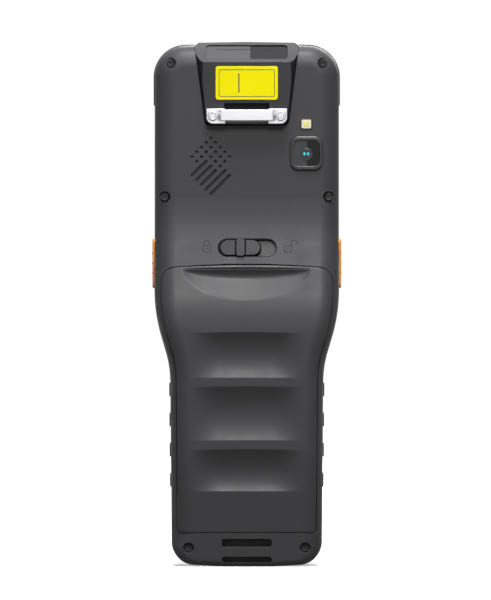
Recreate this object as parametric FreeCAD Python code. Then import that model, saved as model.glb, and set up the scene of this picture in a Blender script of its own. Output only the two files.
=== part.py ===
import FreeCAD, Part
import math
import os
from FreeCAD import Vector

# Portable barcode data terminal, lengths in millimetres and angles in degrees.
# It stands on its lower end. X runs across it and Z up to the scanning end.
# The rear, with the battery and the strap bracket, faces -Y. The screen and keys face +Y.

# Case outline, seen from the rear
case_top = 199.25
head_half = 35.2
head_drop = 0.8
head_shoulder = case_top - head_drop
head_radius = 12.0
head_bow_radius = 500.0
waist_top = 96.5
waist_top_share = 0.4375
waist_low = 76.2
waist_low_share = 0.2734
grip_half = 29.2
toe_half = 28.65
toe_rise = 1.1
toe_radius = 9.0
foot_half = 10.0
foot_bow_radius = 120.0

# Case profile, seen from the side, as distances in front of and behind the origin
front_reach = 16.5
head_reach = 8.5
swell_top = 132.0
swell_top_radius = 70.0
crest_reach = 17.5
crest_top = 96.0
crest_top_radius = 60.0
crest_low = 84.0
crest_low_radius = 120.0
palm_reach = 16.2
palm_height = 40.0
palm_radius = 200.0
toe_reach = 12.2

# Roundings of the long edges
rear_edge_radius = 8.0
toe_edge_radius = 2.5
toe_edge_top = 2.0
rear_edge_low = 10.0
front_edge_radius = 2.5

# Shells
wall = 2.0
inner_chamfer = 3.4
split_reach = 6.0
skin_gap = 0.15
seal_width = 0.8
seal_height = 0.9
boss_radius = 2.8
bay_roof = 117.5
bay_floor = 1.0
bay_floor_wall = 1.5

# Case screws
top_screw_inset = 6.1
top_screw_drop = 7.45
middle_screw_inset = 4.0
middle_screw_place = 140.8
toe_screw_inset = 6.45
toe_screw_place = 7.2
screw_places = [
    (head_half - top_screw_inset, case_top - top_screw_drop),
    (head_half - middle_screw_inset, middle_screw_place),
    (toe_half - toe_screw_inset, toe_screw_place),
]
screw_recess_radius = 2.1
screw_recess_depth = 2.2
screw_head_radius = 1.5
screw_head_height = 1.3
screw_shank_radius = 0.9
screw_length = 14.0

# Corner bumpers
bumper_drop = 23.25
bumper_low = case_top - bumper_drop
bumper_proud = 0.4
bumper_sunk = 0.9
bumper_rear = 0.3
bumper_front = 14.2

# Scan cap, with its foot on the case and its flat face behind it
cap_rise = 0.75
cap_length = 32.1
cap_bow = 0.3
cap_shoulder_drop = 1.5
cap_top = case_top + cap_rise
cap_shoulder = cap_top - cap_bow
cap_high = cap_top - cap_shoulder_drop
cap_high_half = 19.9
cap_low = cap_top - cap_length
cap_low_half = 16.0
cap_corner_radius = 2.4
cap_face_reach = 11.5
cap_low_draft = 0.7
cap_high_draft = 1.7
cap_tilt_drop = 7.9
cap_tilt_start = cap_top - cap_tilt_drop
cap_tilt_reach = 4.0
cap_front = 2.0
cap_wall = 1.6

# Scan window and scan engine
window_half = 15.5
window_drop = 1.2
window_height = 5.5
window_high = cap_top - window_drop
window_low = window_high - window_height
window_radius = 1.3
window_thick = 1.1
window_sunk = 0.5
engine_half = 10.5
engine_depth = 8.0
engine_height = 10.0
engine_drop = 12.7
engine_place = cap_top - engine_drop
light_lip = 1.2
throat_depth = 2.0

# Label plate, bare
label_width = 23.7
label_height = 12.8
label_drop = 15.9
label_place = cap_top - label_drop
label_radius = 1.0
label_thick = 0.25

# Strap bracket and its pocket
bracket_rise = 3.8
bracket_place = cap_low + bracket_rise
bracket_sheet = 0.8
bracket_half = 15.3
bracket_ear_inner = 8.2
bracket_ear_height = 6.4
bracket_ear_high = cap_low + bracket_ear_height
bracket_bar_half = 9.9
bracket_bar_rise = 1.9
bracket_bar_height = 4.1
bracket_bar_low = cap_low + bracket_bar_rise
bracket_bar_high = bracket_bar_low + bracket_bar_height
bracket_bar_lift = 1.0
bracket_screw_place = 12.9
bracket_screw_head = 1.85
bracket_screw_height = 0.8
bracket_screw_shank = 0.9
bracket_screw_length = 3.0
pocket_half = 8.6
pocket_rise = 4.7
pocket_place = cap_low + pocket_rise
pocket_radius = 4.2
pocket_offset = 1.5

# Camera and flash
camera_across = 22.7
camera_place = 157.4
bezel_width = 12.8
bezel_height = 13.2
bezel_radius = 3.5
bezel_proud = 0.8
bezel_sunk = 0.6
camera_window_width = 10.3
camera_window_height = 9.8
camera_window_radius = 2.4
camera_window_thick = 0.9
camera_window_drop = 0.3
camera_barrel_radius = 3.0
camera_body_side = 8.4
camera_body_depth = 4.6
flash_place = 168.6
flash_width = 3.8
flash_height = 3.5
flash_radius = 0.7
flash_proud = 0.15
flash_length = 2.6

# Speaker grille, a square grid turned by 45 degrees, and what is behind it
grille_across = -13.7
grille_top = 163.2
grille_step = 1.785
grille_turn = 45.0
grille_hole_radius = 0.62
grille_slot_radius = 0.585
grille_hole_rows = [(0, 0, 4), (1, 0, 4), (2, 0, 2), (3, 0, 2), (4, 0, 2)]
grille_slot_rows = [(2, 3, 6), (3, 3, 6), (4, 3, 6), (5, 2, 6), (6, 2, 6)]
mesh_thick = 0.3
mesh_width = 17.0
mesh_height = 24.5
mesh_corner = 1.0
speaker_radius = 8.5
speaker_depth = 4.2
speaker_place = 152.5

# Battery latch, on the sloping rear
latch_place = 121.4
latch_across = 0.2
latch_recess_length = 22.5
latch_recess_width = 7.3
latch_recess_depth = 1.2
latch_pad = 1.3
latch_slider_low = -10.1
latch_slider_high = 5.1
latch_slider_width = 5.7
latch_slider_proud = 0.35
latch_rib_low = -4.0
latch_rib_high = -0.8
latch_rib_width = 6.8
latch_rib_radius = 1.0
latch_rib_proud = 0.9
latch_travel = 5.5
latch_neck_length = 3.0
latch_neck_width = 2.4
latch_bolt_length = 12.0
latch_bolt_width = 5.4
latch_bolt_thick = 1.2
latch_gap = 0.1
latch_room = 0.5
tongue_half = 2.6
tongue_thick = 1.2
tongue_gap = 0.2

# Side keys
side_key_low = 106.1
side_key_high = 125.1
side_key_half = 3.8
side_key_proud = 0.8
side_key_depth = 3.4
side_key_round = 1.6
side_key_bump_radius = 0.45
side_key_bump_pitch = 3.7
side_key_travel = 0.7
side_key_flange = 0.8
side_key_lip = 1.0
side_switch_depth = 1.4
side_switch_length = 6.0

# Side grips
grip_low = 13.5
grip_high = 102.8
grip_front = 5.2
grip_rear_low = 6.6
grip_rear_high = 8.4
grip_thick = 1.2
grip_corner_radius = 3.0
grip_bump_first = 32.9
grip_bump_pitch = 11.5
grip_bump_count = 4
grip_bump_length = 5.3
grip_bump_proud = 0.5
grip_bump_half = 4.6
grip_bump_corner = 1.2

# Battery
cover_rim = 2.3
cover_low = 12.7
cover_low_radius = 1.9
cover_head_rim = 2.5
cover_shoulder = 113.6
cover_shoulder_radius = 5.5
cover_top = 115.9
cover_bow_share = 0.73
cover_wall = 2.2
pack_half = 23.8
pack_low = 18.0
pack_high = 101.0
pack_rear = 12.3
pack_front = 0.4
pack_radius = 2.0
pack_gap = 1.7
pad_wall = 1.1
scoop_half = 23.9
scoop_place = 113.3
scoop_height = 11.7
scoop_depth = 2.4
groove_spans = [(72.0, 89.3), (48.2, 68.7), (28.8, 44.8)]
groove_depth = 1.9
groove_full_half = 16.0
groove_half = 22.5
hook_place = 14.0
hook_half = 3.0
hook_inner = 2.5
hook_outer = 3.9
hook_start = 25.0
hook_end = 118.0
hook_side_gap = 0.4
hook_end_gap = 8.0
keeper_half = 9.0
keeper_height = 2.5
keeper_reach = 8.0
keeper_side_gap = 0.5
keeper_front_gap = 0.3
keeper_swing = 2.5
contact_pitch = 4.0
contact_count = 3
contact_width = 1.4
contact_height = 4.0
contact_place = 94.0

# Strap slots and the tunnel behind their bar
slot_half = 9.5
slot_radius = 1.0
upper_slot = (7.6, 10.6)
lower_slot = (1.75, 3.8)
slot_depth = 4.0
tunnel_depth = 1.7

# Screen
glass_half = 30.0
glass_low = 94.0
glass_drop = 11.25
glass_high = case_top - glass_drop
glass_radius = 2.5
glass_thick = 1.1
glass_ledge = 1.6
screen_depth = 3.4
screen_margin = 2.2
screen_gap = 0.2

# Boards
board_inset = 7.6
board_low = 14.5
board_drop = 21.25
board_high = case_top - board_drop
board_front = 5.5
board_thick = 1.5
keypad_front = 12.8
keypad_thick = 1.5
keypad_high = 91.0

# Front keys
key_proud = 1.0
key_gap = 0.2
key_corner = 0.8
key_chamfer = 0.45
key_flange = 0.7
key_lip = 0.7
key_width = 11.0
key_height = 8.0
key_pitch_across = 13.2
key_pitch_up = 11.4
key_first_row = 61.5
key_names = [
    ["1", "2", "3", "power"],
    ["4", "5", "6", "up"],
    ["7", "8", "9", "down"],
    ["point", "0", "hash", "shift"],
]
scan_key_width = 20.0
scan_key_height = 14.0
scan_key_place = 79.5
corner_key_width = 13.0
corner_key_height = 7.0
corner_key_across = 19.2
corner_key_rise = 4.5
corner_key_names = [["escape", "back"], ["menu", "enter"]]

# Front details and the lower end
ear_slot_drop = 6.85
ear_slot_place = case_top - ear_slot_drop
ear_slot_half = 7.0
ear_slot_radius = 0.8
ear_mesh_margin = 1.5
lamp_across = 13.0
lamp_radius = 1.1
usb_half = 4.5
usb_height = 3.2
usb_front = 3.9
usb_depth = 7.0
usb_wall = 0.5
usb_tongue_half = 3.0
usb_tongue_thick = 0.5
pad_count = 5
pad_pitch = 3.0
pad_half = 0.8
pad_reach = 9.5
pad_depth = 1.4
pad_sunk = 0.3

# Share of a low raised face's height that the chamfer round its rim takes
rim_share = 0.6

# Sides of the small round holes, shanks and bosses
small_sides = 8

# How far cutting tools run past what they cut, and the closest points told apart
past = 5.0
near = 1e-3
tiny = 1e-6


def corner_points(before, corner, after):
    """Where a rounded corner starts, its middle and where it ends."""
    back_x, back_z = before[0] - corner[0], before[1] - corner[1]
    ahead_x, ahead_z = after[0] - corner[0], after[1] - corner[1]
    back, ahead = math.hypot(back_x, back_z), math.hypot(ahead_x, ahead_z)
    back_x, back_z = back_x / back, back_z / back
    ahead_x, ahead_z = ahead_x / ahead, ahead_z / ahead
    half = math.acos(max(-1.0, min(1.0, back_x * ahead_x + back_z * ahead_z))) / 2
    radius = corner[2]
    if radius <= 0 or abs(math.pi / 2 - half) < tiny:
        return corner[:2], None, corner[:2]
    leg = radius / math.tan(half)
    reach = radius / math.sin(half) - radius
    mid_x, mid_z = back_x + ahead_x, back_z + ahead_z
    mid = math.hypot(mid_x, mid_z)
    start = (corner[0] + back_x * leg, corner[1] + back_z * leg)
    middle = (corner[0] + mid_x / mid * reach, corner[1] + mid_z / mid * reach)
    end = (corner[0] + ahead_x * leg, corner[1] + ahead_z * leg)
    return start, middle, end


def rounded_wire(corners, place):
    """A closed wire through (u, v, radius) corners, put in space by place(u, v)."""
    count = len(corners)
    rounds = [
        corner_points(corners[i - 1], corners[i], corners[(i + 1) % count])
        for i in range(count)
    ]
    edges = []
    for i, (start, middle, end) in enumerate(rounds):
        if middle is not None:
            edges.append(Part.Arc(place(*start), place(*middle), place(*end)).toShape())
        following = rounds[(i + 1) % count][0]
        if math.dist(end, following) > tiny:
            edges.append(Part.LineSegment(place(*end), place(*following)).toShape())
    return Part.Wire(edges)


def inset(corners, depth):
    """The same outline moved inwards by depth, for corners listed counter-clockwise."""
    moved = []
    for i, corner in enumerate(corners):
        before, after = corners[i - 1], corners[(i + 1) % len(corners)]
        in_x, in_z = corner[0] - before[0], corner[1] - before[1]
        out_x, out_z = after[0] - corner[0], after[1] - corner[1]
        into, out = math.hypot(in_x, in_z), math.hypot(out_x, out_z)
        in_x, in_z, out_x, out_z = in_x / into, in_z / into, out_x / out, out_z / out
        turn = in_x * out_z - in_z * out_x
        start_x, start_z = corner[0] - in_z * depth, corner[1] + in_x * depth
        if abs(turn) < tiny:
            moved.append((start_x, start_z, corner[2]))
            continue
        end_x, end_z = corner[0] - out_z * depth, corner[1] + out_x * depth
        along = ((end_x - start_x) * out_z - (end_z - start_z) * out_x) / turn
        radius = corner[2] - depth if turn > 0 else corner[2] + depth
        radius = max(radius, 0.0) if corner[2] > 0 else 0.0
        moved.append((start_x + in_x * along, start_z + in_z * along, radius))
    return moved


def mirrored(right, top=(), bottom=()):
    """An outline that is alike on both sides, from its right half listed upwards."""
    left = [(-x, z, radius) for x, z, radius in reversed(right)]
    return list(bottom) + list(right) + list(top) + left


def plate(corners, rear, front):
    """A solid with an X-Z outline, from Y = rear to Y = front."""
    wire = rounded_wire(corners, lambda x, z: Vector(x, rear, z))
    return Part.Face(wire).extrude(Vector(0, front - rear, 0))


def bar(corners, left, right):
    """A solid with a Y-Z section, from X = left to X = right."""
    wire = rounded_wire(corners, lambda y, z: Vector(left, y, z))
    return Part.Face(wire).extrude(Vector(right - left, 0, 0))


def box(left, right, rear, front, low, high):
    """A plain block between two corners."""
    corner = Vector(left, rear, low)
    return Part.makeBox(right - left, front - rear, high - low, corner)


def rectangle(across, middle, width, height, radius):
    """The corners of a rounded X-Z rectangle."""
    left, right = across - width / 2, across + width / 2
    low, high = middle - height / 2, middle + height / 2
    return [(left, low, radius), (right, low, radius), (right, high, radius), (left, high, radius)]


def clipped(across, middle, width, height, corner):
    """The corners of an upright rectangle with its corners cut off at 45 degrees."""
    left, right = across - width / 2, across + width / 2
    low, high = middle - height / 2, middle + height / 2
    return [
        (left + corner, low, 0), (right - corner, low, 0), (right, low + corner, 0),
        (right, high - corner, 0), (right - corner, high, 0), (left + corner, high, 0),
        (left, high - corner, 0), (left, low + corner, 0),
    ]


def rod(across, height, radius, rear, front):
    """A cylinder along Y."""
    return Part.makeCylinder(radius, front - rear, Vector(across, rear, height), Vector(0, 1, 0))


def small_rod(across, height, radius, rear, front):
    """A small round bar or hole along Y, with few flat sides."""
    turns = [2 * math.pi * (number + 0.5) / small_sides for number in range(small_sides + 1)]
    rim = [Vector(across + radius * math.sin(turn), rear, height + radius * math.cos(turn))
           for turn in turns]
    return Part.Face(Part.makePolygon(rim)).extrude(Vector(0, front - rear, 0))


def both_sides(shape):
    """A shape and its mirror image across the middle plane."""
    return [shape, shape.mirror(Vector(0, 0, 0), Vector(1, 0, 0))]


def waist_radius(share):
    """Radius that rounds a corner of the waist over this share of the run between them."""
    spread, rise = head_half - grip_half, waist_top - waist_low
    return share * math.hypot(spread, rise) / math.tan(math.atan2(spread, rise) / 2)


def case_outline(clip=0.0):
    """Corners of the case as seen from the rear, its upper ones cut straight if clip is set."""
    right = [
        (foot_half, 0.0, foot_bow_radius),
        (toe_half, toe_rise, toe_radius),
        (grip_half, waist_low, waist_radius(waist_low_share)),
        (head_half, waist_top, waist_radius(waist_top_share)),
    ]
    if clip:
        right += [(head_half, head_shoulder - clip, 0.0), (head_half - clip, head_shoulder, 0.0)]
    else:
        right.append((head_half, head_shoulder, head_radius))
    return mirrored(right, top=[(0.0, case_top, head_bow_radius)])


def case_profile():
    """Corners of the case as seen from the side, past both of its ends."""
    slope = (palm_reach - toe_reach) / palm_height
    below, above = -past, case_top + past
    return [
        (front_reach, below, 0),
        (front_reach, above, 0),
        (-head_reach, above, 0),
        (-head_reach, swell_top, swell_top_radius),
        (-crest_reach, crest_top, crest_top_radius),
        (-crest_reach, crest_low, crest_low_radius),
        (-palm_reach, palm_height, palm_radius),
        (-toe_reach - slope * below, below, 0),
    ]


def rear_radius(height):
    """Rounding of the rear edge, small at the toe and full above the palm."""
    share = (height - toe_edge_top) / (rear_edge_low - toe_edge_top)
    share = max(0.0, min(1.0, share))
    return toe_edge_radius + (rear_edge_radius - toe_edge_radius) * share


def squared_form(depth, clip=0.0):
    """The case form moved inwards by depth, with its long edges still sharp."""
    across = plate(inset(case_outline(clip), depth), -crest_reach - past, front_reach + past)
    along = bar(inset(case_profile(), depth), -head_half - past, head_half + past)
    return across.common(along)


def long_edges(block, depth, front, clip=0.0):
    """Numbers of the edges where the outline meets the front or the rear surface."""
    outline = rounded_wire(inset(case_outline(clip), depth), lambda x, z: Vector(x, 0, z))
    profile = rounded_wire(inset(case_profile(), depth), lambda y, z: Vector(0, y, z))
    numbers = []
    for number, edge in enumerate(block.Edges, 1):
        middle = edge.valueAt((edge.FirstParameter + edge.LastParameter) / 2)
        off_outline = outline.distToShape(Part.Vertex(middle.x, 0, middle.z))[0]
        off_profile = profile.distToShape(Part.Vertex(0, middle.y, middle.z))[0]
        in_front = abs(middle.y - front_reach + depth) < near
        if max(off_outline, off_profile) < near and in_front == front:
            numbers.append(number)
    return numbers


def rounded_form():
    """The outer form of the case, with its long edges rounded."""
    block = squared_form(0.0)
    rounding = []
    for number in long_edges(block, 0.0, front=False):
        edge = block.Edges[number - 1]
        ends = [edge.valueAt(edge.FirstParameter), edge.valueAt(edge.LastParameter)]
        rounding.append((number, rear_radius(ends[0].z), rear_radius(ends[1].z)))
    base = drawing.addObject("Part::Feature", "Block")
    base.Shape = block
    fillet = drawing.addObject("Part::Fillet", "Rounded")
    fillet.Base = base
    fillet.Edges = rounding
    drawing.recompute()
    form = fillet.Shape.copy()
    edges = [form.Edges[number - 1] for number in long_edges(form, 0.0, front=True)]
    return form.makeFillet(front_edge_radius, edges)


def chamfered_form(depth):
    """The case form moved inwards by depth, with its rear edges chamfered."""
    clip = head_radius * (2 - math.sqrt(2))
    block = squared_form(depth, clip)
    numbers = long_edges(block, depth, front=False, clip=clip)
    edges = [block.Edges[number - 1] for number in numbers]
    return block.makeChamfer(inner_chamfer, edges)


def rear_reach(height):
    """How far behind the origin the rear surface is, along its straight runs."""
    corners = [
        (0.0, toe_reach),
        (palm_height, palm_reach),
        (crest_low, crest_reach),
        (crest_top, crest_reach),
        (swell_top, head_reach),
        (case_top, head_reach),
    ]
    for (low, low_reach), (high, high_reach) in zip(corners, corners[1:]):
        if low <= height <= high:
            return low_reach + (high_reach - low_reach) * (height - low) / (high - low)
    return head_reach


def cover_bow_radius():
    """Radius that bows the cover's upper edge over its share of the half width."""
    half = head_half - cover_head_rim
    return cover_bow_share * half ** 2 / (cover_top - cover_shoulder)


def cover_outline(gap=0.0):
    """Corners of the battery cover, or of its opening where gap is over zero."""
    rim = inset(case_outline(), cover_rim)
    slope = (rim[2][0] - rim[1][0]) / (rim[2][1] - rim[1][1])
    low_half = rim[1][0] + slope * (cover_low - rim[1][1])
    head = head_half - cover_head_rim
    right = [
        (low_half, cover_low + skin_gap, cover_low_radius),
        rim[2],
        (head, rim[3][1], rim[3][2]),
        (head, cover_shoulder, cover_shoulder_radius),
    ]
    corners = mirrored(right, top=[(0.0, cover_top, cover_bow_radius())])
    return inset(corners, -gap) if gap else corners


def cover_crown():
    """Height of the battery cover's upper edge on the middle line."""
    lean = math.atan2(cover_top - cover_shoulder, head_half - cover_head_rim)
    return cover_top - cover_bow_radius() * (1 / math.cos(lean) - 1)


def thumb_scoop(grown=0.0):
    """A slanting cylinder, cut off at the lip, that dishes the cover or backs its dish."""
    foot = scoop_place - scoop_height
    start = Vector(0, -rear_reach(foot), foot)
    end = Vector(0, -rear_reach(scoop_place) + scoop_depth, scoop_place)
    along = (end - start).normalize()
    inward = Vector(0, along.z, -along.y)
    radius = (scoop_half ** 2 + scoop_depth ** 2) / (2 * scoop_depth)
    length = end.distanceToPoint(start)
    base = start - inward * radius - along * length
    barrel = Part.makeCylinder(radius + grown, 3 * length, base, along)
    return barrel.common(box(-head_half, head_half, -crest_reach - past, past, crest_low,
                             scoop_place + grown))


def finger_groove(low, high):
    """A cutter for a finger groove, full in the middle and run out by a cone at both ends."""
    start, end = Vector(0, -rear_reach(low), low), Vector(0, -rear_reach(high), high)
    half = end.distanceToPoint(start) / 2
    along = (end - start).normalize()
    radius = (half ** 2 + groove_depth ** 2) / (2 * groove_depth)
    centre = (start + end) * 0.5 + Vector(0, along.z, -along.y) * (groove_depth - radius)
    run = groove_half - groove_full_half
    across = Vector(groove_full_half, 0, 0)
    barrel = Part.makeCylinder(radius, 2 * groove_full_half, centre - across, Vector(1, 0, 0))
    ends = [Part.makeCone(radius, radius - 2 * groove_depth, 2 * run, centre + across * side,
                          Vector(side, 0, 0)) for side in (-1, 1)]
    return barrel.fuse(ends)


def key_list():
    """Name, middle and size of every front key."""
    keys = [("scan", 0.0, scan_key_place, scan_key_width, scan_key_height)]
    for row, names in enumerate(corner_key_names):
        height = scan_key_place + (corner_key_rise if row == 0 else -corner_key_rise)
        for side, name in zip((-1, 1), names):
            across = side * corner_key_across
            keys.append((name, across, height, corner_key_width, corner_key_height))
    for row, names in enumerate(key_names):
        height = key_first_row - row * key_pitch_up
        for column, name in enumerate(names):
            across = (column - (len(names) - 1) / 2) * key_pitch_across
            keys.append((name, across, height, key_width, key_height))
    return keys


def grille_point(right, left):
    """Where a grille hole lies, so many steps down to the right and down to the left."""
    across = grille_across + (right - left) * grille_step
    return across, grille_top - (right + left) * grille_step


def grille_cuts():
    """Round holes and slots of the speaker grille."""
    rear, front = -head_reach - past, -head_reach + wall + past
    cuts = []
    for right, first, last in grille_hole_rows:
        for left in range(first, last + 1):
            across, height = grille_point(right, left)
            cuts.append(small_rod(across, height, grille_hole_radius, rear, front))
    for right, first, last in grille_slot_rows:
        start, end = grille_point(right, first), grille_point(right, last)
        length = math.dist(start, end) + 2 * grille_slot_radius
        middle = ((start[0] + end[0]) / 2, (start[1] + end[1]) / 2)
        corners = rectangle(middle[0], middle[1], length, 2 * grille_slot_radius,
                            grille_slot_radius)
        slot = plate(corners, rear, front)
        slot.rotate(Vector(middle[0], 0, middle[1]), Vector(0, 1, 0), -grille_turn)
        cuts.append(slot)
    return cuts


def slope_turned(shape):
    """Turns a shape made flat at the latch so that it lies on the sloping rear."""
    run = swell_top - crest_top
    angle = math.degrees(math.atan2(crest_reach - head_reach, run))
    shape.rotate(Vector(0, -rear_reach(latch_place), latch_place), Vector(1, 0, 0), -angle)
    return shape


def obround(low, high, width):
    """The corners of a bar with fully round ends at the latch's height."""
    return rectangle((low + high) / 2, latch_place, high - low, width, width / 2)


def latch_layer(corners, proud, deep):
    """A plate on the slope at the latch, from proud of it to deep under it."""
    surface = -rear_reach(latch_place)
    return slope_turned(plate(corners, surface - proud, surface + deep))


def latch_slider():
    """The thumb slider with its raised rib and the neck that carries the bolt."""
    body_width = latch_slider_width
    body = latch_layer(obround(latch_slider_low, latch_slider_high, body_width),
                       latch_slider_proud, latch_recess_depth - latch_gap)
    rib_middle = (latch_rib_low + latch_rib_high) / 2
    rib_length = latch_rib_high - latch_rib_low
    rib = latch_layer(rectangle(rib_middle, latch_place, rib_length, latch_rib_width, latch_rib_radius),
                      latch_rib_proud, latch_recess_depth - latch_gap)
    neck_deep = latch_recess_depth + latch_pad + latch_gap
    neck = latch_layer(rectangle(rib_middle, latch_place, latch_neck_length, latch_neck_width, 0.0),
                       0.0, neck_deep)
    return body.fuse([rib, neck])


def latch_bolt():
    """The plate behind the wall, with the tongue that goes down to the cover's keeper."""
    middle = (latch_rib_low + latch_rib_high) / 2
    top = latch_recess_depth + latch_pad + latch_gap
    corners = rectangle(middle, latch_place, latch_bolt_length, latch_bolt_width, 0.0)
    sheet = latch_layer(corners, -top, top + latch_bolt_thick)
    front = -keeper_reach + latch_gap
    tongue = box(middle - tongue_half, middle + tongue_half, front - tongue_thick, front,
                 cover_crown() + skin_gap + tongue_gap, latch_place)
    return sheet.fuse(tongue).cut(latch_slider())


def tongue_slot():
    """The passage through the bay's roof for the tongue over the latch's whole travel."""
    middle = (latch_rib_low + latch_rib_high) / 2
    front = -keeper_reach + latch_gap
    return box(middle - tongue_half - skin_gap, middle + tongue_half + latch_travel + skin_gap,
               front - tongue_thick - skin_gap, front + skin_gap,
               cover_crown() - keeper_height, bay_roof + past)


def screw_surface(across, height):
    """How far behind the origin the case is at a case screw."""
    reach, radius = rear_reach(height), rear_radius(height)
    half = head_half if height > waist_top else toe_half
    over = max(0.0, across - (half - radius))
    return reach - radius + math.sqrt(max(radius ** 2 - over ** 2, 0.0))


def side_key(gap=0.0):
    """The right side key's outer block, or its opening where gap is over zero."""
    low, high = side_key_low - gap, side_key_high + gap
    corners = [
        (-side_key_half - gap, low, side_key_round),
        (side_key_half + gap, low, side_key_round),
        (side_key_half + gap, high, side_key_round),
        (-side_key_half - gap, high, side_key_round),
    ]
    return bar(corners, head_half + side_key_proud - side_key_depth, head_half + side_key_proud + gap)


def side_key_right():
    """A side key with its flange inside the wall and three small ribs to feel."""
    outer = head_half + side_key_proud
    key = side_key()
    edges = [edge for edge in key.Edges if abs(edge.CenterOfMass.x - outer) < near]
    key = key.makeChamfer(side_key_proud * rim_share, edges)
    inner = outer - side_key_depth
    flange = box(inner - side_key_flange, inner, -side_key_half - side_key_lip,
                 side_key_half + side_key_lip, side_key_low - side_key_lip,
                 side_key_high + side_key_lip)
    middle = (side_key_low + side_key_high) / 2
    bumps = []
    for step in (-1, 0, 1):
        start = Vector(outer - side_key_bump_radius / 2, -side_key_half / 2,
                       middle + step * side_key_bump_pitch)
        bumps.append(Part.makeCylinder(side_key_bump_radius, side_key_half, start, Vector(0, 1, 0)))
    ceiling = box(0, outer + side_key_bump_radius / 2, -past, past, side_key_low, side_key_high)
    return key.fuse([flange] + [bump.common(ceiling) for bump in bumps])


def side_key_room():
    """The room inside the wall for a side key's flange and its switch."""
    inner = head_half + side_key_proud - side_key_depth - side_key_flange - side_key_travel
    lip = side_key_lip + skin_gap
    room = box(inner - side_switch_depth - skin_gap, head_half - wall, -side_key_half - lip,
               side_key_half + lip, side_key_low - lip, side_key_high + lip)
    return room


def grip_outline(gap=0.0):
    """Side view of a side grip, as Y-Z corners."""
    corners = [
        (-grip_rear_low, grip_low, grip_corner_radius),
        (grip_front, grip_low, grip_corner_radius),
        (grip_front, grip_high, grip_corner_radius),
        (-grip_rear_high, grip_high, grip_corner_radius),
    ]
    return inset(corners, -gap) if gap else corners


def grip_layer():
    """The strip of the right wall that the side grip takes up."""
    strip = bar(grip_outline(), 0.0, head_half + past)
    return shell.common(strip).cut(squared_form(grip_thick))


def side_grip_right():
    """A soft strip on the grip, with bumps for the fingers."""
    pieces = [grip_layer()]
    for number in range(grip_bump_count):
        middle = grip_bump_first + number * grip_bump_pitch
        half = grip_bump_length / 2
        corners = clipped(0.0, middle, 2 * grip_bump_half, 2 * half, grip_bump_corner)
        side = toe_half + (grip_half - toe_half) * middle / waist_low
        top = side + grip_bump_proud
        bump = bar(corners, side - grip_thick / 2, top)
        rim = [edge for edge in bump.Edges if abs(edge.CenterOfMass.x - top) < near]
        pieces.append(bump.makeChamfer(grip_bump_proud * rim_share, rim))
    return pieces[0].fuse(pieces[1:])


def bumper_ring():
    """The band around the upper corners that the bumpers take up."""
    outer = plate(inset(case_outline(), -bumper_proud), bumper_rear, bumper_front)
    inner = plate(inset(case_outline(), bumper_sunk), bumper_rear - past, bumper_front + past)
    ring = outer.cut(inner)
    keep = box(-head_half - past, head_half + past, -past, front_reach, bumper_low, cap_top + past)
    middle = box(-cap_high_half, cap_high_half, -past, front_reach, bumper_low, cap_top + past)
    return ring.common(keep).cut(middle)


def cap_outline(low_draft, high_draft, low_lift):
    """Corners of the scan cap, drawn in by a draft that grows towards its top."""
    right = [
        (cap_low_half - low_draft, cap_low + low_lift, cap_corner_radius),
        (cap_high_half - high_draft, cap_high, 0),
        (cap_high_half - high_draft - (cap_shoulder - cap_high), cap_shoulder, 0),
    ]
    return mirrored(right, top=[(0.0, cap_top, 0)])


def tilt_angle():
    """How far the scan window's plane leans from upright."""
    return math.degrees(math.atan2(cap_face_reach - cap_tilt_reach, cap_top - cap_tilt_start))


def tilted_point(height, deep):
    """The Y and Z of a point under the cap's tilted plane, over this height on it."""
    lean = math.radians(tilt_angle())
    reach = cap_face_reach - (height - cap_tilt_start) * math.tan(lean)
    return -reach + deep * math.cos(lean), height - deep * math.sin(lean)


def tilted_plate(low, high, half, radius, top, bottom):
    """A rounded plate under the cap's tilted plane, from top deep to bottom deep."""
    lean = math.radians(tilt_angle())
    length = (high - low) / math.cos(lean)
    corners = rectangle(0.0, low + length / 2, 2 * half, length, radius)
    piece = plate(corners, top, bottom)
    piece.rotate(Vector(0, 0, low), Vector(1, 0, 0), -tilt_angle())
    foot = tilted_point(low, 0.0)
    piece.translate(Vector(0, foot[0], 0))
    return piece


def scan_cap():
    """The raised cap over the scan engine, with its window seat and strap pocket."""
    foot = cap_outline(0.0, 0.0, 0.0)
    face = cap_outline(cap_low_draft, cap_high_draft, cap_low_draft)
    wires = [
        rounded_wire(foot, lambda x, z: Vector(x, -head_reach, z)),
        rounded_wire(face, lambda x, z: Vector(x, -cap_face_reach, z)),
    ]
    raised = Part.makeLoft(wires, True, True)
    over = plate(foot, -head_reach, cap_front)
    block = raised.fuse(over).cut(shell)
    above = [(-cap_face_reach - past, cap_tilt_start, 0), (-cap_face_reach, cap_tilt_start, 0),
             (-cap_tilt_reach, cap_top, 0), (-cap_tilt_reach, cap_top + past, 0),
             (-cap_face_reach - past, cap_top + past, 0)]
    block = block.cut(bar(above, -cap_high_half - past, cap_high_half + past))
    cuts = [window_seat(), light_path(), strap_pocket()]
    for side in (-1, 1):
        cuts.append(small_rod(side * bracket_screw_place, bracket_place, bracket_screw_shank,
                              -cap_face_reach - past, -cap_face_reach + bracket_screw_length))
    return block.cut(cuts)


def window_seat():
    """The sunk seat of the scan window."""
    return tilted_plate(window_low, window_high, window_half, window_radius, -past,
                        window_sunk + window_thick)


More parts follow.
